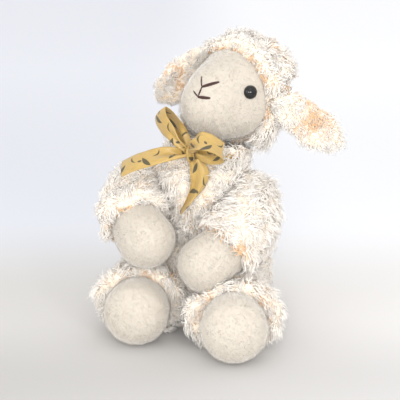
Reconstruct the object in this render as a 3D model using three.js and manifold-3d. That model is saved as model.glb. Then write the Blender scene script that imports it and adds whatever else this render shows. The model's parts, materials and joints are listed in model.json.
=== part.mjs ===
// Seated plush lamb with a satin bow at its neck. Millimetres, +Z up, the lamb faces -Y.
// The origin is the middle of the seat, on the surface that the lamb sits on.
// Left and right are the lamb's own: its left is +X.

import * as THREE from 'three';
import { mergeVertices } from 'three/addons/utils/BufferGeometryUtils.js';
import Module from 'manifold-3d';

const wasm = await Module();
wasm.setup();

// Fabric, clearances and facets
const SEAM_GAP = 0.3;
const SOCKET_GAP = 0.5;
const PILE = 8;
const SHORT_PILE = 2;
const BODY_SIDES = 22;
const FILLING_SIDES = 12;
const LIMB_SIDES = 14;
const SOCKET_SIDES = 20;
const DENT_SIDES = 12;

// Torso, from the seat up to the neck
const SEAT_WIDTH = 70;
const SEAT_DEPTH = 60;
const HIP_WIDTH = 106;
const HIP_DEPTH = 78;
const HIP_HEIGHT = 32;
const WAIST_WIDTH = 88;
const WAIST_DEPTH = 66;
const WAIST_HEIGHT = 78;
const SHOULDER_WIDTH = 80;
const SHOULDER_DEPTH = 64;
const SHOULDER_DROP = 62;
const NECK_DIAMETER = 57;
const NECK_DROP = 50;
const BACK_BULGE = 7;
const POUCH_HEIGHT = 24;

// Head: its middle, the way the muzzle points and the way the crown points
const HEAD_MIDDLE = new THREE.Vector3(26, 0, 179);
const MUZZLE_WAY = new THREE.Vector3(-0.428, -0.903, 0.044).normalize();
const NECK_AXIS = new THREE.Vector3(0.308, 0.051, 0.95).normalize();
const CROWN_WAY = new THREE.Vector3(0.343, -0.116, 0.932);
const HEAD_RADIUS = 34;
const MUZZLE_REACH = 46;
const MUZZLE_DROP = 4;
const MUZZLE_NARROWING = 0.8;
const MUZZLE_TAPER_LENGTH = 20;
const HOOD_SEAM = -1;
const HOOD_SEAM_SLOPE = 0.2;
const CROWN_WIDTH = 66;
const CROWN_LENGTH = 50;
const CROWN_HEIGHT = 16;
const CROWN_RISE = 26;
const CROWN_SETBACK = 16;

// Safety eyes
const EYE_DIAMETER = 10;
const EYE_DOME = 3.8;
const EYE_STEM_RADIUS = 1.6;
const EYE_STEM_LENGTH = 7;
const WASHER_RADIUS = 5;
const WASHER_THICKNESS = 1.2;
const EYE_FORWARD = { left: 14, right: 11 };
const EYE_ANGLE = { left: 60, right: -66 };

// Ears
const EAR_LENGTH = 55;
const EAR_WIDTH = 29;
const EAR_ROOT_WIDTH = 15;
const EAR_BACK_THICKNESS = 7;
const EAR_ROLL_RADIUS = 4.5;
const EAR_CUP = 3.5;
const LINING_THICKNESS = 4;
const LINING_MARGIN = 3.5;
const EAR_SEAT = 40.5;

// Arms
const ARM_ROOT_RADIUS = 20;
const ARM_CUFF_RADIUS = 26;
const ARM_CUFF_AT = 0.66;
const PAW_NECK_RADIUS = 19;
const PAW_RADIUS = 21.5;
const PAW_END = 19;

// Legs
const LEG_ROOT_RADIUS = 25;
const LEG_CUFF_WIDTH = 70;
const LEG_CUFF_HEIGHT = 52;
const LEG_CUFF_AT = 0.64;
const FOOT_NECK_RADIUS = 21.5;
const FOOT_RADIUS = 24.5;
const FOOT_END = 20;
const LEG_SPLAY = 20;

// Tail
const TAIL_LENGTH = 30;
const TAIL_RADIUS = 10;
const TAIL_HEIGHT = 30;

// Ribbon
const RIBBON_WIDTH = 16;
const RIBBON_PINCH = 7;
const RIBBON_THICKNESS = 0.8;
const BAND_WIDTH = 10;
const BAND_DROP = 43;
const KNOT_WIDTH = 12;
const KNOT_DEPTH = 9;

// Embroidery
const STITCH_RADIUS = 0.8;

const X = new THREE.Vector3(1, 0, 0);
const Y = new THREE.Vector3(0, 1, 0);
const Z = new THREE.Vector3(0, 0, 1);

function vector(x, y, z) {
	return new THREE.Vector3(x, y, z);
}

// Finishes
function finish(colour, roughness) {
	return new THREE.MeshStandardMaterial({ color: colour, roughness, metalness: 0 });
}

const shaggyPile = finish(0xf3e9dc, 1);
const shortPile = finish(0xf2e6d2, 1);
const earPlush = finish(0xf0c690, 1);
const satin = finish(0xd6aa4b, 0.35);
const thread = finish(0x50322d, 0.8);
const blackPlastic = finish(0x17151a, 0.12);
const clearPlastic = finish(0xe8e8e4, 0.4);
const polyesterFill = finish(0xfafafa, 1);
const pelletCloth = finish(0xe6e2da, 0.9);

// A closed form through rows of elliptical sections. A row is { at, along, a, b }: its middle,
// the way it faces, and its two half sizes; a row with a = 0 is a pole.
function loft(rows, sides, sideways = X) {
	const positions = [];
	const starts = [];
	for (const row of rows) {
		starts.push(positions.length / 3);
		if (row.a === 0) {
			positions.push(row.at.x, row.at.y, row.at.z);
			continue;
		}
		const across = sideways.clone().addScaledVector(row.along, -sideways.dot(row.along)).normalize();
		const over = row.along.clone().cross(across);
		for (let i = 0; i < sides; i++) {
			const turn = (i / sides) * 2 * Math.PI;
			const point = row.at.clone().addScaledVector(across, row.a * Math.cos(turn));
			point.addScaledVector(over, row.b * Math.sin(turn));
			positions.push(point.x, point.y, point.z);
		}
	}
	const faces = [];
	for (let r = 0; r + 1 < rows.length; r++) {
		for (let i = 0; i < sides; i++) {
			const j = (i + 1) % sides;
			const [low, high] = [starts[r], starts[r + 1]];
			if (rows[r + 1].a !== 0) faces.push(low + (rows[r].a ? j : 0), high + j, high + i);
			if (rows[r].a !== 0) faces.push(low + i, low + j, high + (rows[r + 1].a ? i : 0));
		}
	}
	const geometry = new THREE.BufferGeometry();
	geometry.setAttribute('position', new THREE.Float32BufferAttribute(positions, 3));
	geometry.setIndex(faces);
	return outward(geometry);
}

// Turns the faces of a closed geometry outwards.
function outward(geometry) {
	const p = geometry.getAttribute('position');
	const index = geometry.getIndex();
	let volume = 0;
	const corners = [vector(0, 0, 0), vector(0, 0, 0), vector(0, 0, 0)];
	for (let i = 0; i < index.count; i += 3) {
		corners.forEach((corner, k) => corner.fromBufferAttribute(p, index.getX(i + k)));
		volume += corners[0].dot(corners[1].clone().cross(corners[2]));
	}
	if (volume < 0) {
		for (let i = 0; i < index.count; i += 3) {
			const first = index.getX(i);
			index.setX(i, index.getX(i + 1));
			index.setX(i + 1, first);
		}
	}
	return geometry;
}

function solid(geometry) {
	const bare = geometry.clone();
	bare.deleteAttribute('normal');
	bare.deleteAttribute('uv');
	const merged = outward(mergeVertices(bare, 1e-4));
	return new wasm.Manifold(new wasm.Mesh({
		numProp: 3,
		vertProperties: new Float32Array(merged.getAttribute('position').array),
		triVerts: new Uint32Array(merged.getIndex().array),
	}));
}

// The biggest connected body of a cut form
function mainBody(cut) {
	return cut.decompose().sort((one, other) => other.volume() - one.volume())[0];
}

function meshOf(name, form, material) {
	let geometry = form;
	if (!form.isBufferGeometry) {
		const cut = mainBody(form).getMesh();
		geometry = new THREE.BufferGeometry();
		geometry.setAttribute('position', new THREE.Float32BufferAttribute(cut.vertProperties, 3));
		geometry.setIndex(new THREE.Uint32BufferAttribute(cut.triVerts, 1));
	}
	geometry.computeVertexNormals();
	const mesh = new THREE.Mesh(geometry, material);
	mesh.name = name;
	return mesh;
}

// How much a form with so many sides grows to hold a round one of its size
function holding(sides) {
	return 1 / Math.cos(Math.PI / sides);
}

// A socket that holds a ball of this radius
function socketBall(radius, at, sides) {
	const size = radius * holding(sides) ** 2;
	return solid(new THREE.SphereGeometry(size, sides, sides / 2).translate(at.x, at.y, at.z));
}

// Everything on the side of a plane that its normal points to
function halfSpace(at, normal) {
	const size = 300;
	const block = new THREE.BoxGeometry(size, size, size).translate(0, 0, size / 2);
	block.applyQuaternion(new THREE.Quaternion().setFromUnitVectors(Z, normal));
	return solid(block.translate(at.x, at.y, at.z));
}

function turned(form, axis, degrees, at) {
	const turn = new THREE.Matrix4().makeTranslation(at.x, at.y, at.z);
	turn.multiply(new THREE.Matrix4().makeRotationAxis(axis, THREE.MathUtils.degToRad(degrees)));
	turn.multiply(new THREE.Matrix4().makeTranslation(-at.x, -at.y, -at.z));
	return form.transform(turn.elements);
}

function moved(form, by) {
	return form.translate([by.x, by.y, by.z]);
}

function smooth(value) {
	return THREE.MathUtils.smoothstep(value, 0, 1);
}

function mix(from, to, share) {
	return THREE.MathUtils.lerp(from, to, share);
}

// Limbs

// A limb hangs from a ball at its root, runs along a curve to the middle of its paw or foot,
// and is described by distances along that curve.
class Limb {
	constructor(root, bend, end, shape) {
		this.root = root;
		this.shape = shape;
		this.route = new THREE.QuadraticBezierCurve3(
			vector(0, 0, 0), bend.clone().sub(root), end.clone().sub(root));
		this.length = this.route.getLength();
		this.cuff = this.length * shape.cuffAt;
	}

	row(distance, a, b = a) {
		const share = THREE.MathUtils.clamp(distance / this.length, 0, 1);
		const at = this.route.getPointAt(share);
		const along = this.route.getTangentAt(share);
		at.addScaledVector(along, distance - share * this.length);
		return { at, along, a, b };
	}

	// Half a ball behind the root, pole first
	rootRows(radius, steps) {
		const rows = [this.row(-radius, 0)];
		for (let i = 1; i <= steps; i++) {
			const turn = (i / steps) * Math.PI / 2;
			rows.push(this.row(-radius * Math.cos(turn), radius * Math.sin(turn)));
		}
		return rows;
	}

	// The outer surface of the shaggy sleeve, grown by a clearance
	sleeveRows(grown, steps = 4) {
		const { rootRadius, cuffA, cuffB } = this.shape;
		const rows = this.rootRows(rootRadius + grown, 4);
		for (let i = 1; i <= steps; i++) {
			const share = i / steps;
			const swell = smooth(share);
			rows.push(this.row(this.cuff * share,
				mix(rootRadius, cuffA, swell) + grown, mix(rootRadius, cuffB, swell) + grown));
		}
		return rows;
	}

	// The hollow of the sleeve, or what fills it when it is shrunk
	hollowRows(shrunk, steps = 3) {
		const { rootRadius, neck } = this.shape;
		const rows = this.rootRows(rootRadius - PILE - shrunk, 3);
		for (let i = 1; i <= steps; i++) {
			const radius = mix(rootRadius - PILE, neck - SHORT_PILE, i / steps) - shrunk;
			rows.push(this.row(this.cuff * i / steps, radius));
		}
		return rows;
	}

	// The smooth paw from its seam at the cuff to its tip, shrunk inwards
	pawRows(shrunk, start, steps = 4) {
		const { neck, ball, end } = this.shape;
		const rows = [];
		for (let i = 0; i < 3; i++) {
			const distance = mix(start, this.length, i / 3);
			const back = (this.length - distance) / (this.length - this.cuff);
			rows.push(this.row(distance, ball - (ball - neck) * back * back - shrunk));
		}
		for (let i = 0; i < steps; i++) {
			const turn = (i / steps) * Math.PI / 2;
			rows.push(this.row(this.length + (end - shrunk) * Math.sin(turn), (ball - shrunk) * Math.cos(turn)));
		}
		rows.push(this.row(this.length + end - shrunk, 0));
		return rows;
	}

	sleeve() {
		const rows = this.sleeveRows(0).concat(this.hollowRows(0).reverse());
		return loft(rows, LIMB_SIDES);
	}

	paw() {
		const seam = this.cuff + SEAM_GAP;
		const rows = this.pawRows(0, seam).reverse().concat(this.pawRows(SHORT_PILE, seam));
		return loft(rows, LIMB_SIDES);
	}

	stuffing() {
		const past = this.cuff + SEAM_GAP;
		const rows = this.hollowRows(SEAM_GAP).concat(this.pawRows(SHORT_PILE + SEAM_GAP, past));
		return loft(rows, LIMB_SIDES / 2);
	}

	// The whole limb as one closed form with room round it, to cut its neighbours with
	outline(room) {
		const rows = this.sleeveRows(room);
		rows.push(this.row(this.cuff + room, this.shape.cuffA + room, this.shape.cuffB + room));
		rows.push(...this.pawRows(-room, this.cuff + 2 * room));
		for (const row of rows) {
			row.a *= holding(DENT_SIDES);
			row.b *= holding(DENT_SIDES);
		}
		return moved(solid(loft(rows, DENT_SIDES)), this.root);
	}
}

const armShape = {
	rootRadius: ARM_ROOT_RADIUS,
	cuffA: ARM_CUFF_RADIUS,
	cuffB: ARM_CUFF_RADIUS,
	cuffAt: ARM_CUFF_AT,
	neck: PAW_NECK_RADIUS,
	ball: PAW_RADIUS,
	end: PAW_END,
};

const legShape = {
	rootRadius: LEG_ROOT_RADIUS,
	cuffA: LEG_CUFF_WIDTH / 2,
	cuffB: LEG_CUFF_HEIGHT / 2,
	cuffAt: LEG_CUFF_AT,
	neck: FOOT_NECK_RADIUS,
	ball: FOOT_RADIUS,
	end: FOOT_END,
};

const arms = {
	left: new Limb(vector(42, -9, 99), vector(50, -36, 86), vector(17, -51, 59), armShape),
	right: new Limb(vector(-40, -7, 106), vector(-51, -32, 98), vector(-25, -53.5, 76), armShape),
};
const legs = {
	left: new Limb(vector(35, -30, 27), vector(40, -56, 26), vector(45.8, -83, 24.3), legShape),
	right: new Limb(vector(-37, -14, 27), vector(-34, -40, 26), vector(-31, -66, 24.3), legShape),
};
const floor = halfSpace(vector(0, 0, 0), Z.clone().negate());

// The left paw lies on the left leg: both are pressed flat along this plane
const lapMiddle = vector(26, -51.3, 45.5);
const lapWay = vector(-0.555, 0.03, 0.83).normalize();
const underLap = halfSpace(lapMiddle.clone().addScaledVector(lapWay, SOCKET_GAP / 2), lapWay.clone().negate());
const overLap = halfSpace(lapMiddle.clone().addScaledVector(lapWay, -SOCKET_GAP / 2), lapWay);

// How an arm swings away from the body: the left one forwards and up off the lap, the right
// one outwards and up
const armSwing = {
	left: vector(-0.95, 0, 0.3).normalize(),
	right: vector(-0.6, 0, -0.8).normalize(),
};
const ARM_RAISE = 45;

function limbGroup(name, limb, parts) {
	const group = new THREE.Group();
	group.name = name;
	group.position.copy(limb.root);
	group.add(...parts);
	return group;
}

// The pieces of a limb, cut by a plane that they press on
function pressed(limb, form, cutter) {
	return solid(form).subtract(moved(cutter, limb.root.clone().negate()));
}

function makeArm(side) {
	const limb = arms[side];
	const lap = side === 'left' ? underLap : floor;
	return limbGroup(`arm_${side}`, limb, [
		meshOf(`arm_${side}_sleeve`, pressed(limb, limb.sleeve(), lap), shaggyPile),
		meshOf(`arm_${side}_paw`, pressed(limb, limb.paw(), lap), shortPile),
		meshOf(`arm_${side}_stuffing`, pressed(limb, limb.stuffing(), lap), polyesterFill),
	]);
}

// A leg is flat where it lies on the floor
function makeLeg(side) {
	const limb = legs[side];
	const cutter = side === 'left' ? floor.add(overLap) : floor;
	return limbGroup(`leg_${side}`, limb, [
		meshOf(`leg_${side}_sleeve`, pressed(limb, limb.sleeve(), cutter), shaggyPile),
		meshOf(`leg_${side}_foot`, pressed(limb, limb.paw(), cutter), shortPile),
		meshOf(`leg_${side}_stuffing`, pressed(limb, limb.stuffing(), cutter), polyesterFill),
	]);
}

// Torso

const neckEnd = HEAD_MIDDLE.clone().addScaledVector(NECK_AXIS, -HEAD_RADIUS);
const torsoStations = [
	{ at: vector(0, 5, 0), width: SEAT_WIDTH, depth: SEAT_DEPTH },
	{ at: vector(3, BACK_BULGE, HIP_HEIGHT), width: HIP_WIDTH, depth: HIP_DEPTH },
	{ at: vector(5, BACK_BULGE, WAIST_HEIGHT), width: WAIST_WIDTH, depth: WAIST_DEPTH },
	{
		at: HEAD_MIDDLE.clone().addScaledVector(NECK_AXIS, -SHOULDER_DROP),
		width: SHOULDER_WIDTH,
		depth: SHOULDER_DEPTH,
	},
	{
		at: HEAD_MIDDLE.clone().addScaledVector(NECK_AXIS, -NECK_DROP),
		width: NECK_DIAMETER,
		depth: NECK_DIAMETER,
	},
	{ at: neckEnd, width: NECK_DIAMETER, depth: NECK_DIAMETER },
];

// The torso's form, shrunk inwards. Its seat is flat and its sections lean with the spine.
function torsoForm(shrunk, steps = 14, sides = BODY_SIDES) {
	const spine = new THREE.CatmullRomCurve3(torsoStations.map((station) => station.at));
	const sizes = new THREE.CatmullRomCurve3(
		torsoStations.map((station) => vector(station.width / 2, station.depth / 2, 0)));
	const rows = [];
	for (let i = 0; i <= steps; i++) {
		const share = i / steps;
		const at = spine.getPoint(share);
		const size = sizes.getPoint(share);
		const lean = smooth(at.z / WAIST_HEIGHT);
		const along = Z.clone().lerp(spine.getTangent(share), lean).normalize();
		rows.push({ at, along, a: size.x - shrunk, b: size.y - shrunk });
	}
	if (shrunk > 0) {
		const bottom = rows.findIndex((row) => row.at.z > shrunk);
		rows.splice(0, bottom);
		const { at, a, b } = rows[0];
		rows.unshift({ ...rows[0], at: vector(at.x, at.y, shrunk), a: a - shrunk / 2, b: b - shrunk / 2 });
	}
	rows.unshift({ ...rows[0], a: 0 });
	rows.push({ ...rows[rows.length - 1], a: 0 });
	return loft(rows, sides);
}

// Where the head and the limbs lie against the torso, through each limb's swing
function torsoSockets() {
	let sockets = socketBall(HEAD_RADIUS + PILE + SOCKET_GAP, HEAD_MIDDLE, BODY_SIDES);
	for (const side of ['left', 'right']) {
		const arm = arms[side].outline(SOCKET_GAP);
		for (const share of [0, 0.5, 1]) {
			sockets = sockets.add(turned(arm, armSwing[side], ARM_RAISE * share, arms[side].root));
		}
		const leg = legs[side].outline(SOCKET_GAP);
		const splay = side === 'left' ? LEG_SPLAY : -LEG_SPLAY;
		for (const share of [0, 1]) {
			sockets = sockets.add(turned(leg, Z, splay * share, legs[side].root));
		}
	}
	return sockets;
}

function makeTorso() {
	const group = new THREE.Group();
	group.name = 'torso';
	const sockets = torsoSockets();
	const outer = solid(torsoForm(0));
	const hollow = solid(torsoForm(PILE, 8, FILLING_SIDES));
	const filling = solid(torsoForm(PILE + SEAM_GAP, 8, FILLING_SIDES)).subtract(sockets);
	const above = halfSpace(vector(0, 0, POUCH_HEIGHT + SEAM_GAP), Z);
	const below = halfSpace(vector(0, 0, POUCH_HEIGHT), Z.clone().negate());
	group.add(
		meshOf('torso_cover', outer.subtract(hollow).subtract(sockets), shaggyPile),
		meshOf('torso_stuffing', filling.intersect(above), polyesterFill),
		meshOf('seat_bean_pouch', filling.intersect(below), pelletCloth),
		meshOf('tail', makeTail(), shaggyPile),
	);
	return group;
}

// A short stub, sewn on at the middle of the back
function makeTail() {
	const back = vector(0, BACK_BULGE + HIP_DEPTH / 2, TAIL_HEIGHT);
	const way = vector(0, 0.86, -0.5).normalize();
	const rows = [];
	const steps = 8;
	for (let i = 0; i <= steps; i++) {
		const turn = (i / steps) * Math.PI;
		const radius = i % steps === 0 ? 0 : TAIL_RADIUS * Math.sin(turn);
		const at = back.clone().addScaledVector(way, -TAIL_LENGTH / 2 * Math.cos(turn));
		rows.push({ at, along: way, a: radius, b: radius * 0.8 });
	}
	return solid(loft(rows, 12)).subtract(solid(torsoForm(-SEAM_GAP)));
}

// Head, in its own frame: +X to the lamb's left, -Y to the muzzle, +Z to the crown

// The share of its width that the head keeps so far forward
function narrowing(forward) {
	return mix(1, MUZZLE_NARROWING, smooth(forward / MUZZLE_TAPER_LENGTH));
}

function sinking(forward) {
	return MUZZLE_DROP * smooth(forward / (MUZZLE_REACH / 2));
}

function headForm(shrunk, sides = BODY_SIDES) {
	const back = HEAD_RADIUS - shrunk;
	const front = MUZZLE_REACH - shrunk;
	const rows = [];
	const steps = 7;
	for (let i = -steps; i <= steps; i++) {
		const turn = (i / steps) * Math.PI / 2;
		const forward = (i < 0 ? back : front) * Math.sin(turn);
		const radius = Math.abs(i) === steps ? 0 : (HEAD_RADIUS - shrunk) * Math.cos(turn);
		rows.push({
			at: vector(0, -forward, -sinking(forward)),
			along: Y.clone().negate(),
			a: radius * narrowing(forward),
			b: radius,
		});
	}
	return loft(rows, sides);
}

// The point of the face that lies so far forward, at an angle from the crown to the left
function facePoint(forward, degrees) {
	const radius = HEAD_RADIUS * Math.sqrt(1 - (forward / MUZZLE_REACH) ** 2);
	const turn = THREE.MathUtils.degToRad(degrees);
	const across = radius * narrowing(forward) * Math.sin(turn);
	return vector(across, -forward, radius * Math.cos(turn) - sinking(forward));
}

// The way the face points there
function faceNormal(forward, degrees) {
	const step = 0.5;
	const ahead = facePoint(forward + step, degrees).sub(facePoint(forward - step, degrees));
	const round = facePoint(forward, degrees + step).sub(facePoint(forward, degrees - step));
	return ahead.cross(round).normalize();
}

function makeEye(side) {
	const [forward, degrees] = [EYE_FORWARD[side], EYE_ANGLE[side]];
	const way = faceNormal(forward, degrees);
	const at = facePoint(forward, degrees).addScaledVector(way, 2 * SEAM_GAP);
	const radius = EYE_DIAMETER / 2;
	const profile = [
		new THREE.Vector2(0, -EYE_STEM_LENGTH),
		new THREE.Vector2(EYE_STEM_RADIUS, -EYE_STEM_LENGTH),
		new THREE.Vector2(EYE_STEM_RADIUS, 0),
		new THREE.Vector2(radius, 0),
	];
	const steps = 5;
	for (let i = 1; i < steps; i++) {
		const turn = (i / steps) * Math.PI / 2;
		profile.push(new THREE.Vector2(radius * Math.cos(turn), EYE_DOME * Math.sin(turn)));
	}
	profile.push(new THREE.Vector2(0, EYE_DOME));
	const washerTop = -SHORT_PILE - 5 * SEAM_GAP;
	const hole = EYE_STEM_RADIUS + SEAM_GAP;
	const ring = [
		new THREE.Vector2(hole, washerTop - WASHER_THICKNESS),
		new THREE.Vector2(WASHER_RADIUS, washerTop - WASHER_THICKNESS),
		new THREE.Vector2(WASHER_RADIUS, washerTop),
		new THREE.Vector2(hole, washerTop),
		new THREE.Vector2(hole, washerTop - WASHER_THICKNESS),
	];
	const stand = new THREE.Quaternion().setFromUnitVectors(Y, way);
	const place = (geometry) => geometry.applyQuaternion(stand).translate(at.x, at.y, at.z);
	const room = WASHER_RADIUS + SEAM_GAP;
	const recess = new THREE.CylinderGeometry(room, room, EYE_STEM_LENGTH, 16);
	const bore = new THREE.CylinderGeometry(hole, hole, EYE_STEM_LENGTH * 3, 12);
	return {
		dome: place(mergeVertices(bareOf(new THREE.LatheGeometry(profile, 14)), 1e-4)),
		washer: place(mergeVertices(bareOf(new THREE.LatheGeometry(ring, 14)), 1e-4)),
		recess: solid(place(recess.translate(0, -EYE_STEM_LENGTH / 2 - SHORT_PILE, 0))),
		bore: solid(place(bore)),
	};
}

function bareOf(geometry) {
	geometry.deleteAttribute('normal');
	geometry.deleteAttribute('uv');
	return geometry;
}

// Nose and mouth: satin-stitched bars that lie on the muzzle, joined into one piece. Each is
// given by its ends, as distances to the left and up from the middle of the face.
function makeStitching() {
	const noseJoint = [2, 9.3];
	const mouthJoint = [3, 2.3];
	const strokes = [
		[noseJoint, [-4, 14]],
		[noseJoint, [8, 15]],
		[noseJoint, mouthJoint],
		[mouthJoint, [-2.5, 3.5]],
		[mouthJoint, [10, 4]],
	];
	const lift = STITCH_RADIUS + SEAM_GAP + 0.15;
	const onFace = ([left, up]) => {
		const wide = left / MUZZLE_NARROWING;
		const radius = Math.hypot(wide, up + MUZZLE_DROP);
		const forward = MUZZLE_REACH * Math.sqrt(1 - (radius / HEAD_RADIUS) ** 2);
		const degrees = THREE.MathUtils.radToDeg(Math.atan2(wide, up + MUZZLE_DROP));
		return facePoint(forward, degrees).addScaledVector(faceNormal(forward, degrees), lift);
	};
	let joined = null;
	for (const [start, end] of strokes) {
		const points = [0, 0.25, 0.5, 0.75, 1].map((share) => onFace([
			mix(start[0], end[0], share), mix(start[1], end[1], share)]));
		const route = new THREE.CatmullRomCurve3(points);
		const rows = [{ at: route.getPoint(0), along: route.getTangent(0), a: 0, b: 0 }];
		const steps = 4;
		for (let i = 0; i <= steps; i++) {
			const fat = STITCH_RADIUS * (0.7 + 0.3 * Math.sin(Math.PI * i / steps));
			rows.push({ at: route.getPoint(i / steps), along: route.getTangent(i / steps), a: fat, b: fat });
		}
		rows.push({ at: route.getPoint(1), along: route.getTangent(1), a: 0, b: 0 });
		const bar = solid(loft(rows, 6, Y));
		joined = joined ? joined.add(bar) : bar;
	}
	return joined;
}

// Ears

// An ear lies along +X from the middle of its root, its hinge is along Y, and its lining
// faces +Z. The root is rolled round the hinge.
function earForm(thickness, margin, rise, from, sides = 14) {
	const rows = [];
	const steps = 10;
	const tip = EAR_LENGTH - margin;
	for (let i = 0; i <= steps; i++) {
		const distance = from + (tip - from) * Math.sin((i / steps) * Math.PI / 2) ** 1.3;
		const share = distance / EAR_LENGTH;
		const belly = Math.sin(Math.PI * Math.min(Math.max(share, 0) * 0.62 + 0.14, 1)) ** 1.4;
		const round = Math.sqrt(Math.max(0, 1 - ((distance - from) / (tip - from)) ** 5));
		const half = mix(EAR_ROOT_WIDTH / 2, EAR_WIDTH / 2, belly) * round - margin * (1 - share) * 0.5;
		const end = i === 0 || i === steps;
		rows.push({
			at: vector(distance, 0, rise - EAR_CUP * share * share),
			along: X,
			a: end ? 0 : Math.max(half, 0.8),
			b: end ? 0 : (thickness / 2) * Math.max(round, 0.3),
		});
	}
	if (from <= 0) {
		rows[0].at.x = -EAR_ROLL_RADIUS;
		rows.splice(1, 0, ...[0.8, 0.35].map((share) => ({
			at: vector(-EAR_ROLL_RADIUS * share, 0, 0),
			along: X,
			a: EAR_ROOT_WIDTH / 2 * (share > 0.5 ? 0.8 : 1),
			b: EAR_ROLL_RADIUS * Math.sqrt(1 - share * share),
		})));
		rows.splice(3, 0, { at: vector(0, 0, 0), along: X, a: EAR_ROOT_WIDTH / 2, b: EAR_ROLL_RADIUS });
	}
	return loft(rows, sides, Y);
}

// Where each ear is sewn on, the ways it points and faces, and how far it swings away from its lining
const earPlaces = {
	left: {
		seat: vector(0.92, 0.1, 0.28),
		way: vector(0.945, 0.26, -0.18),
		lining: vector(0.264, -0.853, 0.45),
		swings: [-20, 5, 30],
	},
	right: {
		seat: vector(-0.93, 0.1, 0.3),
		way: vector(-0.35, -0.15, -0.92),
		lining: vector(0.64, -0.75, -0.12),
		swings: [0, 18, 35],
	},
};

function earMatrix(side) {
	const { seat, way, lining } = earPlaces[side];
	const long = way.clone().normalize();
	const front = lining.clone().addScaledVector(long, -lining.dot(long)).normalize();
	const wide = front.clone().cross(long);
	const matrix = new THREE.Matrix4().makeBasis(long, wide, front);
	return matrix.setPosition(seat.clone().normalize().multiplyScalar(EAR_SEAT));
}

function makeEar(side) {
	const back = solid(earForm(EAR_BACK_THICKNESS, 0, 0, 0));
	const clear = solid(earForm(EAR_BACK_THICKNESS + 2 * SEAM_GAP, -SEAM_GAP, 0, 0));
	const rise = EAR_BACK_THICKNESS / 2;
	const lining = solid(earForm(LINING_THICKNESS, LINING_MARGIN, rise, EAR_ROLL_RADIUS * 2));
	const group = new THREE.Group();
	group.name = `ear_${side}`;
	group.applyMatrix4(earMatrix(side));
	group.add(
		meshOf(`ear_${side}_back`, back, shaggyPile),
		meshOf(`ear_${side}_lining`, lining.subtract(clear), earPlush),
	);
	return group;
}

// The ear's seat in the head: the hinge of its roll, and the room that the flap swings through
function earSocket(side) {
	const radius = (EAR_ROLL_RADIUS + SOCKET_GAP) * holding(SOCKET_SIDES);
	const width = EAR_ROOT_WIDTH + 2 * SOCKET_GAP;
	const room = 2 * SEAM_GAP;
	const rise = EAR_BACK_THICKNESS / 2;
	const flap = solid(earForm(EAR_BACK_THICKNESS + 2 * room, -room, 0, 0));
	const lining = earForm(LINING_THICKNESS + 2 * room, LINING_MARGIN - room, rise, EAR_ROLL_RADIUS);
	const ear = flap.add(solid(lining));
	let socket = solid(new THREE.CylinderGeometry(radius, radius, width, SOCKET_SIDES)).add(ear);
	const stops = earPlaces[side].swings.map((degrees) => turned(ear, Y, degrees, vector(0, 0, 0)));
	for (let i = 1; i < stops.length; i++) {
		socket = socket.add(wasm.Manifold.hull([stops[i - 1], stops[i]]));
	}
	return socket.transform(earMatrix(side).elements);
}

function makeHead() {
	const group = new THREE.Group();
	group.name = 'head';
	const backward = vector(0, 1, HOOD_SEAM_SLOPE).normalize();
	const seam = vector(0, -HOOD_SEAM, 0);
	const rear = halfSpace(seam.clone().addScaledVector(backward, SEAM_GAP), backward);
	const ahead = halfSpace(seam, backward.clone().negate());
	const eyes = { left: makeEye('left'), right: makeEye('right') };
	const smoothForm = solid(headForm(0));
	const hollow = solid(headForm(SHORT_PILE));
	let hood = solid(headForm(-PILE)).subtract(hollow).intersect(rear);
	let face = smoothForm.subtract(hollow).intersect(ahead);
	let filling = solid(headForm(SHORT_PILE + SEAM_GAP, BODY_SIDES / 2));
	for (const side of ['left', 'right']) {
		const socket = earSocket(side);
		hood = hood.subtract(socket);
		face = face.subtract(eyes[side].bore);
		filling = filling.subtract(eyes[side].recess).subtract(eyes[side].bore).subtract(socket);
	}
	const dome = new THREE.SphereGeometry(1, BODY_SIDES, 14);
	dome.scale(CROWN_WIDTH / 2, CROWN_LENGTH / 2, CROWN_HEIGHT).translate(0, CROWN_SETBACK, CROWN_RISE);
	const behind = halfSpace(seam.clone().addScaledVector(backward, -SEAM_GAP), backward);
	const under = solid(headForm(-PILE - SEAM_GAP)).intersect(behind);
	let crown = solid(dome).subtract(under).subtract(solid(headForm(-SEAM_GAP)));
	crown = crown.subtract(earSocket('left')).subtract(earSocket('right'));
	group.add(
		meshOf('face_panel', face, shortPile),
		meshOf('head_back_panel', hood, shaggyPile),
		meshOf('crown_gusset', crown, shaggyPile),
		meshOf('head_stuffing', filling, polyesterFill),
		meshOf('nose_mouth_stitching', makeStitching(), thread),
	);
	for (const side of ['left', 'right']) {
		group.add(meshOf(`eye_${side}`, eyes[side].dome, blackPlastic));
		group.add(meshOf(`eye_washer_${side}`, eyes[side].washer, clearPlastic));
		group.add(makeEar(side));
	}
	const crownWay = CROWN_WAY.clone().addScaledVector(MUZZLE_WAY, -CROWN_WAY.dot(MUZZLE_WAY)).normalize();
	const backWay = MUZZLE_WAY.clone().negate();
	group.applyMatrix4(new THREE.Matrix4().makeBasis(backWay.clone().cross(crownWay), backWay, crownWay));
	group.position.copy(HEAD_MIDDLE);
	return group;
}

// Ribbon

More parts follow.
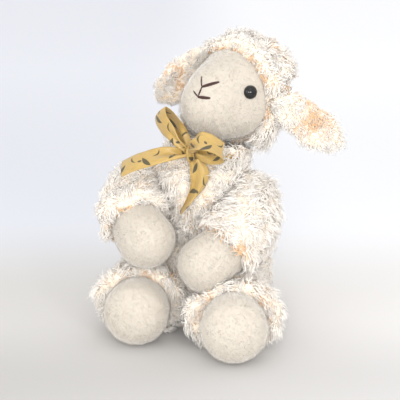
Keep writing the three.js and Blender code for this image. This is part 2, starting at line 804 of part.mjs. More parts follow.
// A strip of ribbon along a route. Each stop is [point, way across, width].
function strip(stops, steps) {
	const route = new THREE.CatmullRomCurve3(stops.map((stop) => stop[0]));
	const ways = new THREE.CatmullRomCurve3(stops.map((stop) => stop[1]));
	const widths = new THREE.CatmullRomCurve3(stops.map((stop) => vector(stop[2], 0, 0)));
	const positions = [];
	for (let i = 0; i <= steps; i++) {
		const share = i / steps;
		const at = route.getPoint(share);
		const along = route.getTangent(share);
		const across = ways.getPoint(share);
		across.addScaledVector(along, -across.dot(along)).normalize();
		const over = along.clone().cross(across).multiplyScalar(RIBBON_THICKNESS / 2);
		const half = across.multiplyScalar(widths.getPoint(share).x / 2);
		for (const [h, o] of [[1, 1], [-1, 1], [-1, -1], [1, -1]]) {
			const point = at.clone().addScaledVector(half, h).addScaledVector(over, o);
			positions.push(point.x, point.y, point.z);
		}
	}
	const faces = [0, 1, 2, 0, 2, 3];
	for (let i = 0; i < steps; i++) {
		for (let k = 0; k < 4; k++) {
			const [p, q] = [4 * i + k, 4 * i + (k + 1) % 4];
			faces.push(p, p + 4, q, q, p + 4, q + 4);
		}
	}
	const last = 4 * steps;
	faces.push(last, last + 2, last + 1, last, last + 3, last + 2);
	const geometry = new THREE.BufferGeometry();
	geometry.setAttribute('position', new THREE.Float32BufferAttribute(positions, 3));
	geometry.setIndex(faces);
	return outward(geometry);
}

const bandMiddle = HEAD_MIDDLE.clone().addScaledVector(NECK_AXIS, -BAND_DROP);
const bandRadius = NECK_DIAMETER / 2 + SEAM_GAP + 0.2;
const knotWay = vector(-0.25, -0.97, 0.05).normalize();
const knotMiddle = bandMiddle.clone().addScaledVector(
	knotWay, bandRadius + RIBBON_THICKNESS + KNOT_DEPTH / 2 + 0.5);

// A loop leaves the knot along `out`, bulges along `over`, and its width lies along `across`.
function bowLoop(out, over, across, reach, front, rear) {
	const start = (KNOT_WIDTH / 2 - 1.5) / reach;
	const outline = [
		[start, 0.2], [0.38, 0.75], [0.62, 1], [0.88, 0.75], [1, 0],
		[0.88, -0.75], [0.62, -1], [0.38, -0.75], [start, -0.3],
	];
	const stops = outline.map(([share, bulge]) => {
		const at = knotMiddle.clone().addScaledVector(out, reach * share);
		at.addScaledVector(over, bulge > 0 ? bulge * front : bulge * rear);
		const width = mix(RIBBON_PINCH, RIBBON_WIDTH, smooth((share - start) / 0.45));
		return [at, across, width];
	});
	return strip(stops, 26);
}

// A tail hangs along stops that are given from the middle of the knot.
function bowTail(stops) {
	return strip(stops.map(([x, y, z, across, width]) => [
		knotMiddle.clone().add(vector(x, y, z)), across, width]), 12);
}

function makeRibbon() {
	const band = new THREE.LatheGeometry([
		new THREE.Vector2(bandRadius, -BAND_WIDTH / 2),
		new THREE.Vector2(bandRadius + RIBBON_THICKNESS, -BAND_WIDTH / 2),
		new THREE.Vector2(bandRadius + RIBBON_THICKNESS, BAND_WIDTH / 2),
		new THREE.Vector2(bandRadius, BAND_WIDTH / 2),
		new THREE.Vector2(bandRadius, -BAND_WIDTH / 2),
	], 36);
	band.applyQuaternion(new THREE.Quaternion().setFromUnitVectors(Y, NECK_AXIS));
	band.translate(bandMiddle.x, bandMiddle.y, bandMiddle.z);
	const knot = new THREE.SphereGeometry(1, 12, 8).scale(KNOT_WIDTH / 2, KNOT_DEPTH / 2, KNOT_WIDTH / 2);
	knot.applyQuaternion(new THREE.Quaternion().setFromUnitVectors(Y.clone().negate(), knotWay));
	knot.translate(knotMiddle.x, knotMiddle.y, knotMiddle.z);
	const clearKnot = solid(knot.clone().translate(-knotMiddle.x, -knotMiddle.y, -knotMiddle.z)
		.scale(1.08, 1.08, 1.08).translate(knotMiddle.x, knotMiddle.y, knotMiddle.z));
	const group = new THREE.Group();
	group.name = 'ribbon';
	const upright = bowLoop(
		vector(-0.63, 0.07, 0.77), vector(-0.47, -0.83, -0.31), vector(0.62, -0.55, 0.55), 38, 5, 3.5);
	const round = bowLoop(
		vector(0.87, -0.45, 0.17), vector(-0.444, -0.612, 0.654), vector(-0.15, 0.75, 0.6), 29, 11, 1);
	const shoulderWay = vector(-0.08, 0.79, 0.62);
	const overShoulder = bowTail([
		[-3.9, -1.5, -1.2, shoulderWay, RIBBON_PINCH],
		[-17, -8, -0.7, shoulderWay, RIBBON_WIDTH - 2],
		[-30, -12, -3.2, shoulderWay, RIBBON_WIDTH],
		[-41, -12.5, -7.2, shoulderWay, RIBBON_WIDTH],
		[-50, -11, -12.2, shoulderWay, RIBBON_WIDTH],
	]);
	const downChest = bowTail([
		[1.6, -3.5, -5.2, vector(0.9, 0.35, 0.1), RIBBON_PINCH],
		[5.1, -4, -13.7, vector(0.95, 0.3, 0.1), RIBBON_WIDTH - 3],
		[4.1, -3, -23.7, vector(0.9, 0.2, 0.3), RIBBON_WIDTH - 4],
		[-0.9, -3, -34.7, vector(0.8, -0.3, 0.5), RIBBON_PINCH],
		[-5.9, -4, -43.7, vector(0.6, -0.6, 0.5), 2],
	]);
	group.add(
		meshOf('ribbon_neck_band', mergeVertices(bareOf(band), 1e-4), satin),
		meshOf('ribbon_knot', mergeVertices(bareOf(knot), 1e-4), satin),
		meshOf('ribbon_loop_right', solid(upright).subtract(clearKnot), satin),
		meshOf('ribbon_loop_left', solid(round).subtract(clearKnot), satin),
		meshOf('ribbon_tail_right', solid(overShoulder).subtract(clearKnot), satin),
		meshOf('ribbon_tail_left', solid(downChest).subtract(clearKnot), satin),
	);
	return group;
}

const lamb = new THREE.Group();
lamb.name = 'plush_lamb';
lamb.add(makeTorso(), makeHead(), makeRibbon());
for (const side of ['left', 'right']) {
	lamb.add(makeArm(side), makeLeg(side));
}

export default lamb;
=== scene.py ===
"""A seated plush lamb with a satin bow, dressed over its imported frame."""
import json
import math

import bmesh
import bpy
import numpy as np
from bpy.props import FloatProperty, FloatVectorProperty, IntProperty, PointerProperty
from bpy.types import Operator, Panel, PropertyGroup
from mathutils import Matrix, Vector, noise
from mathutils.bvhtree import BVHTree


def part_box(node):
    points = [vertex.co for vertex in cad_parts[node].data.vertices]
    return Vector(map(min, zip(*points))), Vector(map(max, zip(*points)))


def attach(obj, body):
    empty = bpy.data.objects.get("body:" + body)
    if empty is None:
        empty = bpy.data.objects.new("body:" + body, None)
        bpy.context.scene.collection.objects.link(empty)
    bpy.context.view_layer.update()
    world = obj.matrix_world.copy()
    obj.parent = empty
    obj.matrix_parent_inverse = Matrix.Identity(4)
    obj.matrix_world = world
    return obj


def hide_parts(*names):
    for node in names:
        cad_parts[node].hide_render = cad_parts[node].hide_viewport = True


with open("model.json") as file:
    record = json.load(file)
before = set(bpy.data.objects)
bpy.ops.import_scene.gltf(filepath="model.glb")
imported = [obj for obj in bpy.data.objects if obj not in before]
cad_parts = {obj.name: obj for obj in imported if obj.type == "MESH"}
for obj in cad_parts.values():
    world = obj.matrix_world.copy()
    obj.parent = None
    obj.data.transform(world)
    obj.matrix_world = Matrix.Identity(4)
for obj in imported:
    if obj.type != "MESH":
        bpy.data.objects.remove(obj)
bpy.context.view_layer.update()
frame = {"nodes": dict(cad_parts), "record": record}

# Without a seed of its own, noise_vector starts from the clock and the tufts differ on each run
noise.seed_set(7)

bl_info = {
    "name": "Plush Lamb",
    "version": (1, 0, 0),
    "blender": (4, 5, 0),
    "location": "View3D > Sidebar > Lamb",
    "description": "Builds the pile, faces, ribbon and stage of a seated plush lamb",
    "category": "Object",
}

UP = Vector((0, 0, 1))
MM = 0.001
FULL_TURN = 2 * math.pi

# Heights above the floor: that of the lowest vertex, and those where nap and locks begin
LOWEST = 0.0003
NAP_BEGINS = 0.001
LOCKS_BEGIN = 0.0012


def linear(red, green, blue):
    """A screen colour from 0 to 255 as scene-linear values."""
    values = []
    for value in (red, green, blue):
        share = value / 255
        values.append(share / 12.92 if share <= 0.04045 else ((share + 0.055) / 1.055) ** 2.4)
    return tuple(values)


# Settings


def colour_setting(name, description, default):
    return FloatVectorProperty(
        name=name, description=description, subtype="COLOR", size=3, min=0, max=1, default=default)


def length_setting(name, description, default):
    return FloatProperty(name=name, description=description, unit="LENGTH", min=0, default=default)


class LambPile(PropertyGroup):
    lock_length: length_setting("Lock length", "Length of a lock of the shaggy pile", 0.0105)
    lock_width: length_setting("Lock width", "Half width of a lock near its root", 0.00036)
    lock_depth: FloatProperty(
        name="Lock depth", description="Share of a lock's width that it is deep", default=0.75)
    tuft: length_setting("Tuft", "Height of the curled tufts that the locks grow from", 0.0034)
    curl: length_setting("Curl", "Radius of the curl of a lock", 0.0013)
    spacing: length_setting("Spacing", "Distance between neighbouring locks", 0.00148)
    clump: length_setting("Clump", "Distance between neighbouring clumps of locks", 0.0088)
    root_colour: colour_setting("Roots", "Colour of the pile at its roots", linear(240, 182, 102))
    middle_colour: colour_setting("Middle", "Colour of the pile below its tips", linear(251, 237, 217))
    tip_colour: colour_setting("Tips", "Colour of the tips of the pile", linear(252, 245, 236))
    most_locks: IntProperty(
        name="Most locks", description="Most locks on one piece", default=10800, min=100)


class LambCloth(PropertyGroup):
    smooth_colour: colour_setting("Short pile", "Colour of the face, paws and feet", linear(199, 191, 179))
    # The short pile's shade colour is painted shade, laid into the gaps between its tufts.
    smooth_shade: colour_setting("Short pile shade", "Colour between its tufts", linear(190, 181, 167))
    nap_colour: colour_setting("Nap", "Colour of the tips of its fibres", linear(206, 198, 186))
    ear_colour: colour_setting("Ear centre", "Colour of the pile inside the ears", linear(244, 207, 151))
    thread_colour: colour_setting("Thread", "Colour of the nose and mouth", linear(78, 48, 42))
    eye_colour: colour_setting("Eyes", "Colour of the safety eyes", linear(14, 13, 14))


class LambRibbon(PropertyGroup):
    width: length_setting("Width", "Width of the satin ribbon", 0.016)
    thickness: length_setting("Thickness", "Thickness of the satin ribbon", 0.00025)
    satin_colour: colour_setting("Satin", "Colour of the ribbon", linear(195, 163, 95))
    print_colour: colour_setting("Print", "Colour of its seed pattern", linear(62, 62, 50))


class LambStage(PropertyGroup):
    floor_colour: colour_setting("Floor", "Colour of the floor", linear(187, 186, 185))
    # The lit-side colours are painted light: they brighten one side of the floor and of the backdrop.
    floor_lit_side: colour_setting("Bright floor", "Colour of its bright side", linear(206, 205, 205))
    backdrop_colour: colour_setting("Backdrop", "Colour of the backdrop", linear(200, 203, 211))
    backdrop_lit_side: colour_setting("Bright backdrop", "Colour of its bright side", linear(216, 218, 223))


# Node helpers


def shade(material_name):
    """A new node material with its tree, its Principled shader and nothing else."""
    material = bpy.data.materials.new(material_name)
    material.use_nodes = True
    tree = material.node_tree
    return material, tree, tree.nodes["Principled BSDF"]


def node(tree, kind, values=(), links=(), **settings):
    """A node with its settings, input values and links from other sockets."""
    made = tree.nodes.new(kind)
    for key, value in settings.items():
        setattr(made, key, value)
    for key, value in dict(values).items():
        made.inputs[key].default_value = value
    for key, socket in dict(links).items():
        tree.links.new(socket, made.inputs[key])
    return made


def math_node(tree, operation, *inputs):
    """One step of arithmetic on numbers and sockets."""
    made = node(tree, "ShaderNodeMath", operation=operation)
    for index, value in enumerate(inputs):
        if isinstance(value, bpy.types.NodeSocket):
            tree.links.new(value, made.inputs[index])
        else:
            made.inputs[index].default_value = value
    return made.outputs[0]


def colour_mix(tree, factor, one, other):
    """A mix of two colours, each a socket or a plain colour."""
    made = node(tree, "ShaderNodeMix", data_type="RGBA")
    for index, value in ((0, factor), (6, one), (7, other)):
        if isinstance(value, bpy.types.NodeSocket):
            tree.links.new(value, made.inputs[index])
        elif index == 0:
            made.inputs[0].default_value = value
        else:
            made.inputs[index].default_value = (*value, 1)
    return made.outputs[2]


def step_ramp(tree, value, low, high):
    """A smooth step from 0 at low to 1 at high."""
    made = node(tree, "ShaderNodeMapRange", {"From Min": low, "From Max": high}, {"Value": value},
                interpolation_type="SMOOTHSTEP")
    return made.outputs["Result"]


def effect(name, inputs, outputs):
    """An empty node group with named sockets, each given as its name and kind."""
    group = bpy.data.node_groups.new(name, "ShaderNodeTree")
    for label, kind in inputs:
        group.interface.new_socket(label, in_out="INPUT", socket_type=kind)
    for label, kind in outputs:
        group.interface.new_socket(label, in_out="OUTPUT", socket_type=kind)
    return group, group.nodes.new("NodeGroupInput"), group.nodes.new("NodeGroupOutput")


def use_effect(tree, name, values=(), links=()):
    """A node of an effect's group, which is built the first time that it is asked for."""
    group = bpy.data.node_groups.get(name) or EFFECTS[name](name)
    given = {key: (*value, 1) if hasattr(value, "__len__") else value
             for key, value in dict(values).items()}
    return node(tree, "ShaderNodeGroup", given, links, node_tree=group)


def object_place(tree):
    return node(tree, "ShaderNodeTexCoord").outputs["Object"]


def weave_place(tree):
    return node(tree, "ShaderNodeUVMap", uv_map="weave").outputs["UV"]


# Effects


def pile_colour_effect(name):
    """Colour along a lock: cream and pale at the tip, tan at the root where the pile is tinted."""
    group, given, out = effect(
        name,
        [("Along", "NodeSocketFloat"), ("Tone", "NodeSocketFloat"), ("Tan", "NodeSocketFloat"),
         ("Root", "NodeSocketColor"), ("Middle", "NodeSocketColor"), ("Tip", "NodeSocketColor")],
        [("Color", "NodeSocketColor")])
    tinted = step_ramp(group, given.outputs["Tan"], 0.02, 0.45)
    above_tan = math_node(group, "MULTIPLY_ADD", given.outputs["Tan"], -0.7, given.outputs["Along"])
    low = math_node(group, "SUBTRACT", 1, step_ramp(group, above_tan, 0.0, 0.4))
    tan = math_node(group, "MULTIPLY", tinted, low)
    pale = colour_mix(group, step_ramp(group, given.outputs["Along"], 0.1, 0.5),
                      given.outputs["Middle"], given.outputs["Tip"])
    tanned = colour_mix(group, tan, pale, given.outputs["Root"])
    tone = math_node(group, "MULTIPLY_ADD", given.outputs["Tone"], 0.06, 0.96)
    toned = node(group, "ShaderNodeVectorMath", operation="SCALE", links={0: tanned, "Scale": tone})
    group.links.new(toned.outputs[0], out.inputs["Color"])
    return group


def tuft_effect(name):
    """Fine tufts of a short pile: a mask of the gaps between them, and a height."""
    group, given, out = effect(
        name,
        [("Vector", "NodeSocketVector"), ("Size", "NodeSocketFloat")],
        [("Gaps", "NodeSocketFloat"), ("Height", "NodeSocketFloat")])
    scale = math_node(group, "DIVIDE", 1, given.outputs["Size"])
    fine = node(group, "ShaderNodeTexNoise", {"Detail": 4, "Roughness": 0.65, "Distortion": 0.6},
                {"Vector": given.outputs["Vector"], "Scale": scale})
    quarter = math_node(group, "DIVIDE", scale, 4)
    broad = node(group, "ShaderNodeTexNoise", {"Detail": 3, "Roughness": 0.5, "Distortion": 1.2},
                 {"Vector": given.outputs["Vector"], "Scale": quarter})
    height = math_node(group, "ADD", math_node(group, "MULTIPLY", fine.outputs["Fac"], 0.6),
                       math_node(group, "MULTIPLY", broad.outputs["Fac"], 0.4))
    gaps = math_node(group, "SUBTRACT", 1, step_ramp(group, height, 0.36, 0.56))
    group.links.new(gaps, out.inputs["Gaps"])
    group.links.new(height, out.inputs["Height"])
    return group


def seed_print_effect(name):
    """Small seeds and curved dashes, scattered along a ribbon in units of its width."""
    group, given, out = effect(name, [("Vector", "NodeSocketVector")], [("Mask", "NodeSocketFloat")])
    parts = node(group, "ShaderNodeSeparateXYZ", links={0: given.outputs["Vector"]})
    # How many to a width, their shift along it, their middle across it, half sizes and bend
    rows = [(0.8, 0.0, 0.3, 0.33, 0.11, 0.4), (0.8, 0.47, 0.68, 0.27, 0.045, 1.6),
            (0.6, 0.21, 0.5, 0.12, 0.06, 0.4)]
    masks = []
    for index, (per_width, shift, middle, long_half, short_half, bend) in enumerate(rows):
        run = math_node(group, "MULTIPLY_ADD", parts.outputs["Y"], per_width, shift)
        cell = math_node(group, "FLOOR", run)
        chance = node(group, "ShaderNodeTexWhiteNoise", noise_dimensions="1D",
                      links={"W": math_node(group, "ADD", cell, 7.3 * index)})
        dice = node(group, "ShaderNodeSeparateColor", links={0: chance.outputs["Color"]})
        in_cell = math_node(group, "SUBTRACT", math_node(group, "FRACT", run), 0.5)
        along = math_node(group, "DIVIDE", in_cell, per_width)
        slide = math_node(group, "MULTIPLY_ADD", dice.outputs["Red"], 0.2, middle - 0.1)
        across = math_node(group, "SUBTRACT", parts.outputs["X"], slide)
        turn = math_node(group, "MULTIPLY", dice.outputs["Green"], math.pi)
        place = node(group, "ShaderNodeCombineXYZ", links={0: across, 1: along})
        spun = node(group, "ShaderNodeVectorRotate", rotation_type="Z_AXIS",
                    links={"Vector": place.outputs[0], "Angle": turn})
        spot = node(group, "ShaderNodeSeparateXYZ", links={0: spun.outputs[0]})
        squared = math_node(group, "MULTIPLY", spot.outputs["X"], spot.outputs["X"])
        bent = math_node(group, "SUBTRACT", spot.outputs["Y"], math_node(group, "MULTIPLY", squared, bend))
        x = math_node(group, "DIVIDE", spot.outputs["X"], long_half)
        y = math_node(group, "DIVIDE", bent, short_half)
        reach = math_node(group, "ADD", math_node(group, "MULTIPLY", x, x), math_node(group, "ABSOLUTE", y))
        masks.append(math_node(group, "SUBTRACT", 1, step_ramp(group, reach, 0.85, 1.05)))
    joined = math_node(group, "MAXIMUM", math_node(group, "MAXIMUM", masks[0], masks[1]), masks[2])
    group.links.new(joined, out.inputs["Mask"])
    return group


EFFECTS = {"Pile Colour": pile_colour_effect, "Short Tufts": tuft_effect, "Seed Print": seed_print_effect}


# Materials


VELVET = {"Roughness": 0.9, "Sheen Weight": 1, "Sheen Roughness": 0.4, "Specular IOR Level": 0.2}


def set_plain(shader, values):
    """Sets the sockets that are the same all over the surface."""
    for key, value in values.items():
        shader.inputs[key].default_value = value


def bumped(tree, shader, height, strength, distance):
    bump = node(tree, "ShaderNodeBump", {"Strength": strength, "Distance": distance}, {"Height": height})
    tree.links.new(bump.outputs["Normal"], shader.inputs["Normal"])


def pile_shares(tree):
    """What each lock carries: how far along it a point is, its tone and its tan share."""
    pile = node(tree, "ShaderNodeAttribute", attribute_name="pile")
    parts = node(tree, "ShaderNodeSeparateColor", links={0: pile.outputs["Color"]})
    return {"Along": parts.outputs["Red"], "Tone": parts.outputs["Green"], "Tan": parts.outputs["Blue"]}


def pile_material(name, settings, tinted=None):
    """Locks of pile, coloured by their own attribute."""
    material, tree, shader = shade(name)
    colours = {"Root": settings.root_colour, "Middle": tinted or settings.middle_colour,
               "Tip": settings.tip_colour}
    colour = use_effect(tree, "Pile Colour", colours, pile_shares(tree))
    tree.links.new(colour.outputs["Color"], shader.inputs["Base Color"])
    set_plain(shader, {"Roughness": 0.8, "Sheen Weight": 1, "Sheen Roughness": 0.8,
                       "Specular IOR Level": 0.2})
    return material


def backing_material(name, settings):
    """The cloth below the locks: matted tan and cream fibres."""
    material, tree, shader = shade(name)
    tufts = use_effect(tree, "Short Tufts", {"Size": 0.003}, {"Vector": object_place(tree)})
    gaps = math_node(tree, "MULTIPLY", tufts.outputs["Gaps"], 0.1)
    warm = colour_mix(tree, gaps, settings.middle_colour, settings.root_colour)
    tree.links.new(warm, shader.inputs["Base Color"])
    set_plain(shader, {"Roughness": 0.95, "Sheen Weight": 0.6, "Sheen Roughness": 0.8})
    bumped(tree, shader, tufts.outputs["Height"], 0.5, 0.001)
    return material


def smooth_material(name, cloth):
    """Short velvety pile of the face, paws and feet."""
    material, tree, shader = shade(name)
    tufts = use_effect(tree, "Short Tufts", {"Size": 0.0011}, {"Vector": object_place(tree)})
    # Painted shade: a little of the darker shade colour is mixed into the gaps between the tufts.
    gap_shade = math_node(tree, "MULTIPLY", tufts.outputs["Gaps"], 0.12)
    colour = colour_mix(tree, gap_shade, cloth.smooth_colour, cloth.smooth_shade)
    tree.links.new(colour, shader.inputs["Base Color"])
    set_plain(shader, VELVET)
    bumped(tree, shader, tufts.outputs["Height"], 0.3, 0.0006)
    return material


def nap_material(name, cloth):
    """The fibres that stand on the short pile."""
    material, tree, shader = shade(name)
    colour = colour_mix(tree, pile_shares(tree)["Tone"], cloth.smooth_colour, cloth.nap_colour)
    tree.links.new(colour, shader.inputs["Base Color"])
    set_plain(shader, VELVET)
    return material


def satin_material(name, ribbon):
    """Printed satin: fine lengthwise floats, woven edges and a seed pattern."""
    material, tree, shader = shade(name)
    weave = weave_place(tree)
    parts = node(tree, "ShaderNodeSeparateXYZ", links={0: weave})
    stretched = node(tree, "ShaderNodeMapping", {"Scale": (46, 3, 1)}, {"Vector": weave})
    floats = node(tree, "ShaderNodeTexNoise", {"Scale": 1, "Detail": 3}, {"Vector": stretched.outputs[0]})
    ribs = math_node(tree, "SINE", math_node(tree, "MULTIPLY", parts.outputs["Y"], 300))
    edge = math_node(tree, "ABSOLUTE", math_node(tree, "SUBTRACT", parts.outputs["X"], 0.5))
    selvedge = step_ramp(tree, edge, 0.455, 0.475)
    # Painted shade and sheen: shaded, a darker copy of the satin colour, is mixed in as streaks along the
    # floats, and it also darkens the woven edges.
    shaded = [0.78 * value for value in ribbon.satin_colour]
    ground = colour_mix(tree, step_ramp(tree, floats.outputs["Fac"], 0.3, 0.7), shaded, ribbon.satin_colour)
    edged = colour_mix(tree, math_node(tree, "MULTIPLY", selvedge, 0.35), ground, shaded)
    seeds = use_effect(tree, "Seed Print", links={"Vector": weave}).outputs["Mask"]
    printed = colour_mix(tree, math_node(tree, "MULTIPLY", seeds, 0.92), edged, ribbon.print_colour)
    tree.links.new(printed, shader.inputs["Base Color"])
    rough = math_node(tree, "MULTIPLY_ADD", seeds, 0.25, 0.36)
    tree.links.new(rough, shader.inputs["Roughness"])
    set_plain(shader, {"Sheen Weight": 0.2, "Anisotropic": 0.5})
    raised = math_node(tree, "MULTIPLY_ADD", floats.outputs["Fac"], 0.5,
                       math_node(tree, "MULTIPLY", selvedge, 0.8))
    height = math_node(tree, "ADD", math_node(tree, "MULTIPLY", ribs, 0.12), raised)
    bumped(tree, shader, height, 0.25, 0.0002)
    return material


def thread_material(name, cloth):
    """Satin stitch: threads laid side by side across each bar."""
    material, tree, shader = shade(name)
    parts = node(tree, "ShaderNodeSeparateXYZ", links={0: weave_place(tree)})
    wave = math_node(tree, "MULTIPLY_ADD", parts.outputs["X"], 2.2, parts.outputs["Y"])
    threads = math_node(tree, "SINE", math_node(tree, "MULTIPLY", wave, 13000))
    # Painted shade: the grooves between the threads take a darker copy of the thread colour.
    sunk = step_ramp(tree, threads, -0.2, -1)
    groove_shade = [0.45 * value for value in cloth.thread_colour]
    colour = colour_mix(tree, sunk, cloth.thread_colour, groove_shade)
    tree.links.new(colour, shader.inputs["Base Color"])
    set_plain(shader, {"Roughness": 0.5})
    bumped(tree, shader, threads, 0.6, 0.0002)
    return material


def eye_material(name, cloth):
    """Polished black plastic with a little dust."""
    material, tree, shader = shade(name)
    dust = node(tree, "ShaderNodeTexNoise", {"Scale": 900, "Detail": 3}, {"Vector": object_place(tree)})
    rough = math_node(tree, "MULTIPLY_ADD", dust.outputs["Fac"], 0.015, 0.005)
    tree.links.new(rough, shader.inputs["Roughness"])
    set_plain(shader, {"Base Color": (*cloth.eye_colour, 1), "IOR": 1.55})
    return material


def washer_material(name):
    """Milky plastic of the washers inside the head."""
    material, tree, shader = shade(name)
    haze = node(tree, "ShaderNodeTexNoise", {"Scale": 400, "Detail": 2}, {"Vector": object_place(tree)})
    colour = colour_mix(tree, haze.outputs["Fac"], linear(226, 226, 222), linear(240, 240, 236))
    tree.links.new(colour, shader.inputs["Base Color"])
    set_plain(shader, {"Roughness": 0.45})
    return material


def material_of(name, maker, *given):
    """The material of that name, made the first time that it is asked for."""
    return bpy.data.materials.get(name) or maker(name, *given)


# Shapes


def placed(name, mesh, *materials):
    """A new object of a mesh, which stands at the origin."""
    for material in materials:
        mesh.materials.append(material)
    piece = bpy.data.objects.new(name, mesh)
    bpy.context.scene.collection.objects.link(piece)
    return piece


def mesh_from(form, name):
    """A bmesh, with smooth faces, written into a new mesh."""
    for face in form.faces:
        face.smooth = True
    mesh = bpy.data.meshes.new(name)
    form.to_mesh(mesh)
    form.free()
    return mesh


def read_rows(items, key, kind=np.float32):
    """Three numbers of each item of a mesh, as rows."""
    values = np.empty(len(items) * 3, kind)
    items.foreach_get(key, values)
    return values.reshape(-1, 3)


def mesh_middle(mesh):
    """The mean place of a mesh's vertices."""
    return sum((Vector(vertex.co) for vertex in mesh.vertices), Vector()) / len(mesh.vertices)


def surface_tree(*meshes):
    """The surfaces of some meshes, for looking up distances."""
    form = bmesh.new()
    for mesh in meshes:
        form.from_mesh(mesh)
    tree = BVHTree.FromBMesh(form)
    form.free()
    return tree


def cad_tree(names):
    return surface_tree(*(frame["nodes"][name].data for name in names))


def gap_to(tree, place):
    return tree.find_nearest(place)[3]


def inside(tree, place, reach=math.inf):
    """Whether a place is behind the surface nearest to it, and within a reach of it."""
    hit, out, _, gap = tree.find_nearest(place)
    return hit is not None and gap < reach and (place - hit).dot(out) < 0


def fade(gap, reach):
    """1 where a gap is 0, falling to 0 where it is a reach or more."""
    return max(0.0, 1 - gap / reach)


def past(value, start, run):
    """How far a value is past a start: 0 there and 1 a run later."""
    return min(1.0, max(0.0, (value - start) / run))


def keep_biggest(form):
    """Leaves only the connected shell with the most vertices."""
    form.verts.ensure_lookup_table()
    seen, shells = set(), []
    for start in form.verts:
        if start in seen:
            continue
        shell, reached = [], [start]
        seen.add(start)
        while reached:
            vertex = reached.pop()
            shell.append(vertex)
            for edge in vertex.link_edges:
                other = edge.other_vert(vertex)
                if other not in seen:
                    seen.add(other)
                    reached.append(other)
        shells.append(shell)
    shells.sort(key=len)
    bmesh.ops.delete(form, geom=[v for shell in shells[:-1] for v in shell], context="VERTS")


def soft_dents(place):
    return noise.noise(place / 0.011)


def curled_tufts(place):
    """The height of rounded tufts about 8 mm wide, from -0.5 in their creases to 0.5."""
    swayed = place + 0.0035 * noise.noise_vector(place / 0.012)
    near = noise.voronoi(swayed / 0.0085)[0][0]
    return 0.5 - min(1.0, 1.25 * near) ** 2 + 0.3 * noise.noise(place / 0.0032)


def filled_skin(name, nodes, voxel, inset, rounds, relief, dents=soft_dents):
    """One smooth closed skin over some CAD nodes, drawn in by an inset and moved by its dents."""
    form = bmesh.new()
    for part in nodes:
        form.from_mesh(frame["nodes"][part].data)
    bmesh.ops.remove_doubles(form, verts=form.verts, dist=1e-6)
    mesh = bpy.data.meshes.new(name)
    form.to_mesh(mesh)
    form.free()
    piece = placed(name, mesh)
    remesh = piece.modifiers.new("Fill", "REMESH")
    remesh.mode = "VOXEL"
    remesh.voxel_size = voxel
    shown = piece.evaluated_get(bpy.context.evaluated_depsgraph_get())
    form = bmesh.new()
    form.from_mesh(bpy.data.meshes.new_from_object(shown))
    piece.modifiers.clear()
    keep_biggest(form)
    for _ in range(rounds):
        bmesh.ops.smooth_vert(
            form, verts=form.verts, factor=0.5, use_axis_x=True, use_axis_y=True, use_axis_z=True)
    form.normal_update()
    moves = [vertex.normal * (relief * dents(vertex.co) - inset) for vertex in form.verts]
    for vertex, move in zip(form.verts, moves):
        vertex.co += move
    for face in form.faces:
        face.smooth = True
    form.to_mesh(mesh)
    form.free()
    mesh.update()
    return piece


def keep_above_floor(mesh):
    places = read_rows(mesh.vertices, "co")
    places[:, 2] = np.maximum(places[:, 2], LOWEST)
    mesh.vertices.foreach_set("co", places.reshape(-1))
    mesh.update()


def lock_form(rings):
    """The points and triangles of one tapered lock of unit length and radius."""
    form = bmesh.new()
    bmesh.ops.create_cone(form, cap_ends=True, cap_tris=True, segments=3, radius1=1, radius2=0, depth=1,
                          matrix=Matrix.Translation((0, 0, 0.5)))
    for height in rings:
        bmesh.ops.bisect_plane(form, geom=form.verts[:] + form.edges[:] + form.faces[:],
                               plane_co=(0, 0, height), plane_no=(0, 0, 1))
    bmesh.ops.triangulate(form, faces=form.faces[:])
    bmesh.ops.recalc_face_normals(form, faces=form.faces[:])
    form.verts.index_update()
    points = np.array([v.co[:] for v in form.verts])
    faces = np.array([[v.index for v in face.verts] for face in form.faces])
    form.free()
    return points, faces


def unit(vectors):
    return vectors / np.maximum(np.linalg.norm(vectors, axis=-1, keepdims=True), 1e-9)


def square_to(ways, others):
    """Ways made square to others, with a length of 1."""
    return unit(ways - (ways * others).sum(1, keepdims=True) * others)


def sorted_surface(mesh):
    """A mesh's places, normals and triangles in the order of their places, since a remesh numbers
    its vertices anew on each run."""
    mesh.calc_loop_triangles()
    corners = read_rows(mesh.loop_triangles, "vertices", np.int32)
    places = read_rows(mesh.vertices, "co").astype(float)
    normals = read_rows(mesh.vertex_normals, "vector").astype(float)
    order = np.lexsort(np.round(places, 6).T)
    rank = np.empty(len(order), int)
    rank[order] = np.arange(len(order))
    corners = np.sort(rank[corners], axis=1)
    return places[order], normals[order], corners[np.lexsort(corners.T)]


def scatter(skin, count, dice):
    """Random points of a skin's surface, the normals there and the surface's area."""
    places, normals, corners = sorted_surface(skin.data)
    a, b, c = (places[corners[:, k]] for k in range(3))
    areas = np.linalg.norm(np.cross(b - a, c - a), axis=1) / 2
    chosen = corners[dice.choice(len(areas), size=count, p=areas / areas.sum())]
    u, v = dice.random(count), dice.random(count)
    over = u + v > 1
    u[over], v[over] = 1 - u[over], 1 - v[over]
    shares = (1 - u - v, u, v)
    at, way = (sum(share[:, None] * values[chosen[:, k]] for k, share in enumerate(shares))
               for values in (places, normals))
    return at, unit(way), areas.sum()


def flow_field(places, normals, comb, seed):
    """The way the pile lies at each place: noise and the way it is combed, along the cloth."""
    shift = Vector((seed, 2 * seed, 0))
    swirl = np.array([noise.noise_vector(Vector(place) / 0.016 + shift)[:] for place in places])
    wish = 1.3 * swirl + np.array([comb(Vector(place))[:] for place in places])
    return square_to(wish, normals)


def combed_down(place):
    return Vector((0, 0, -0.45))


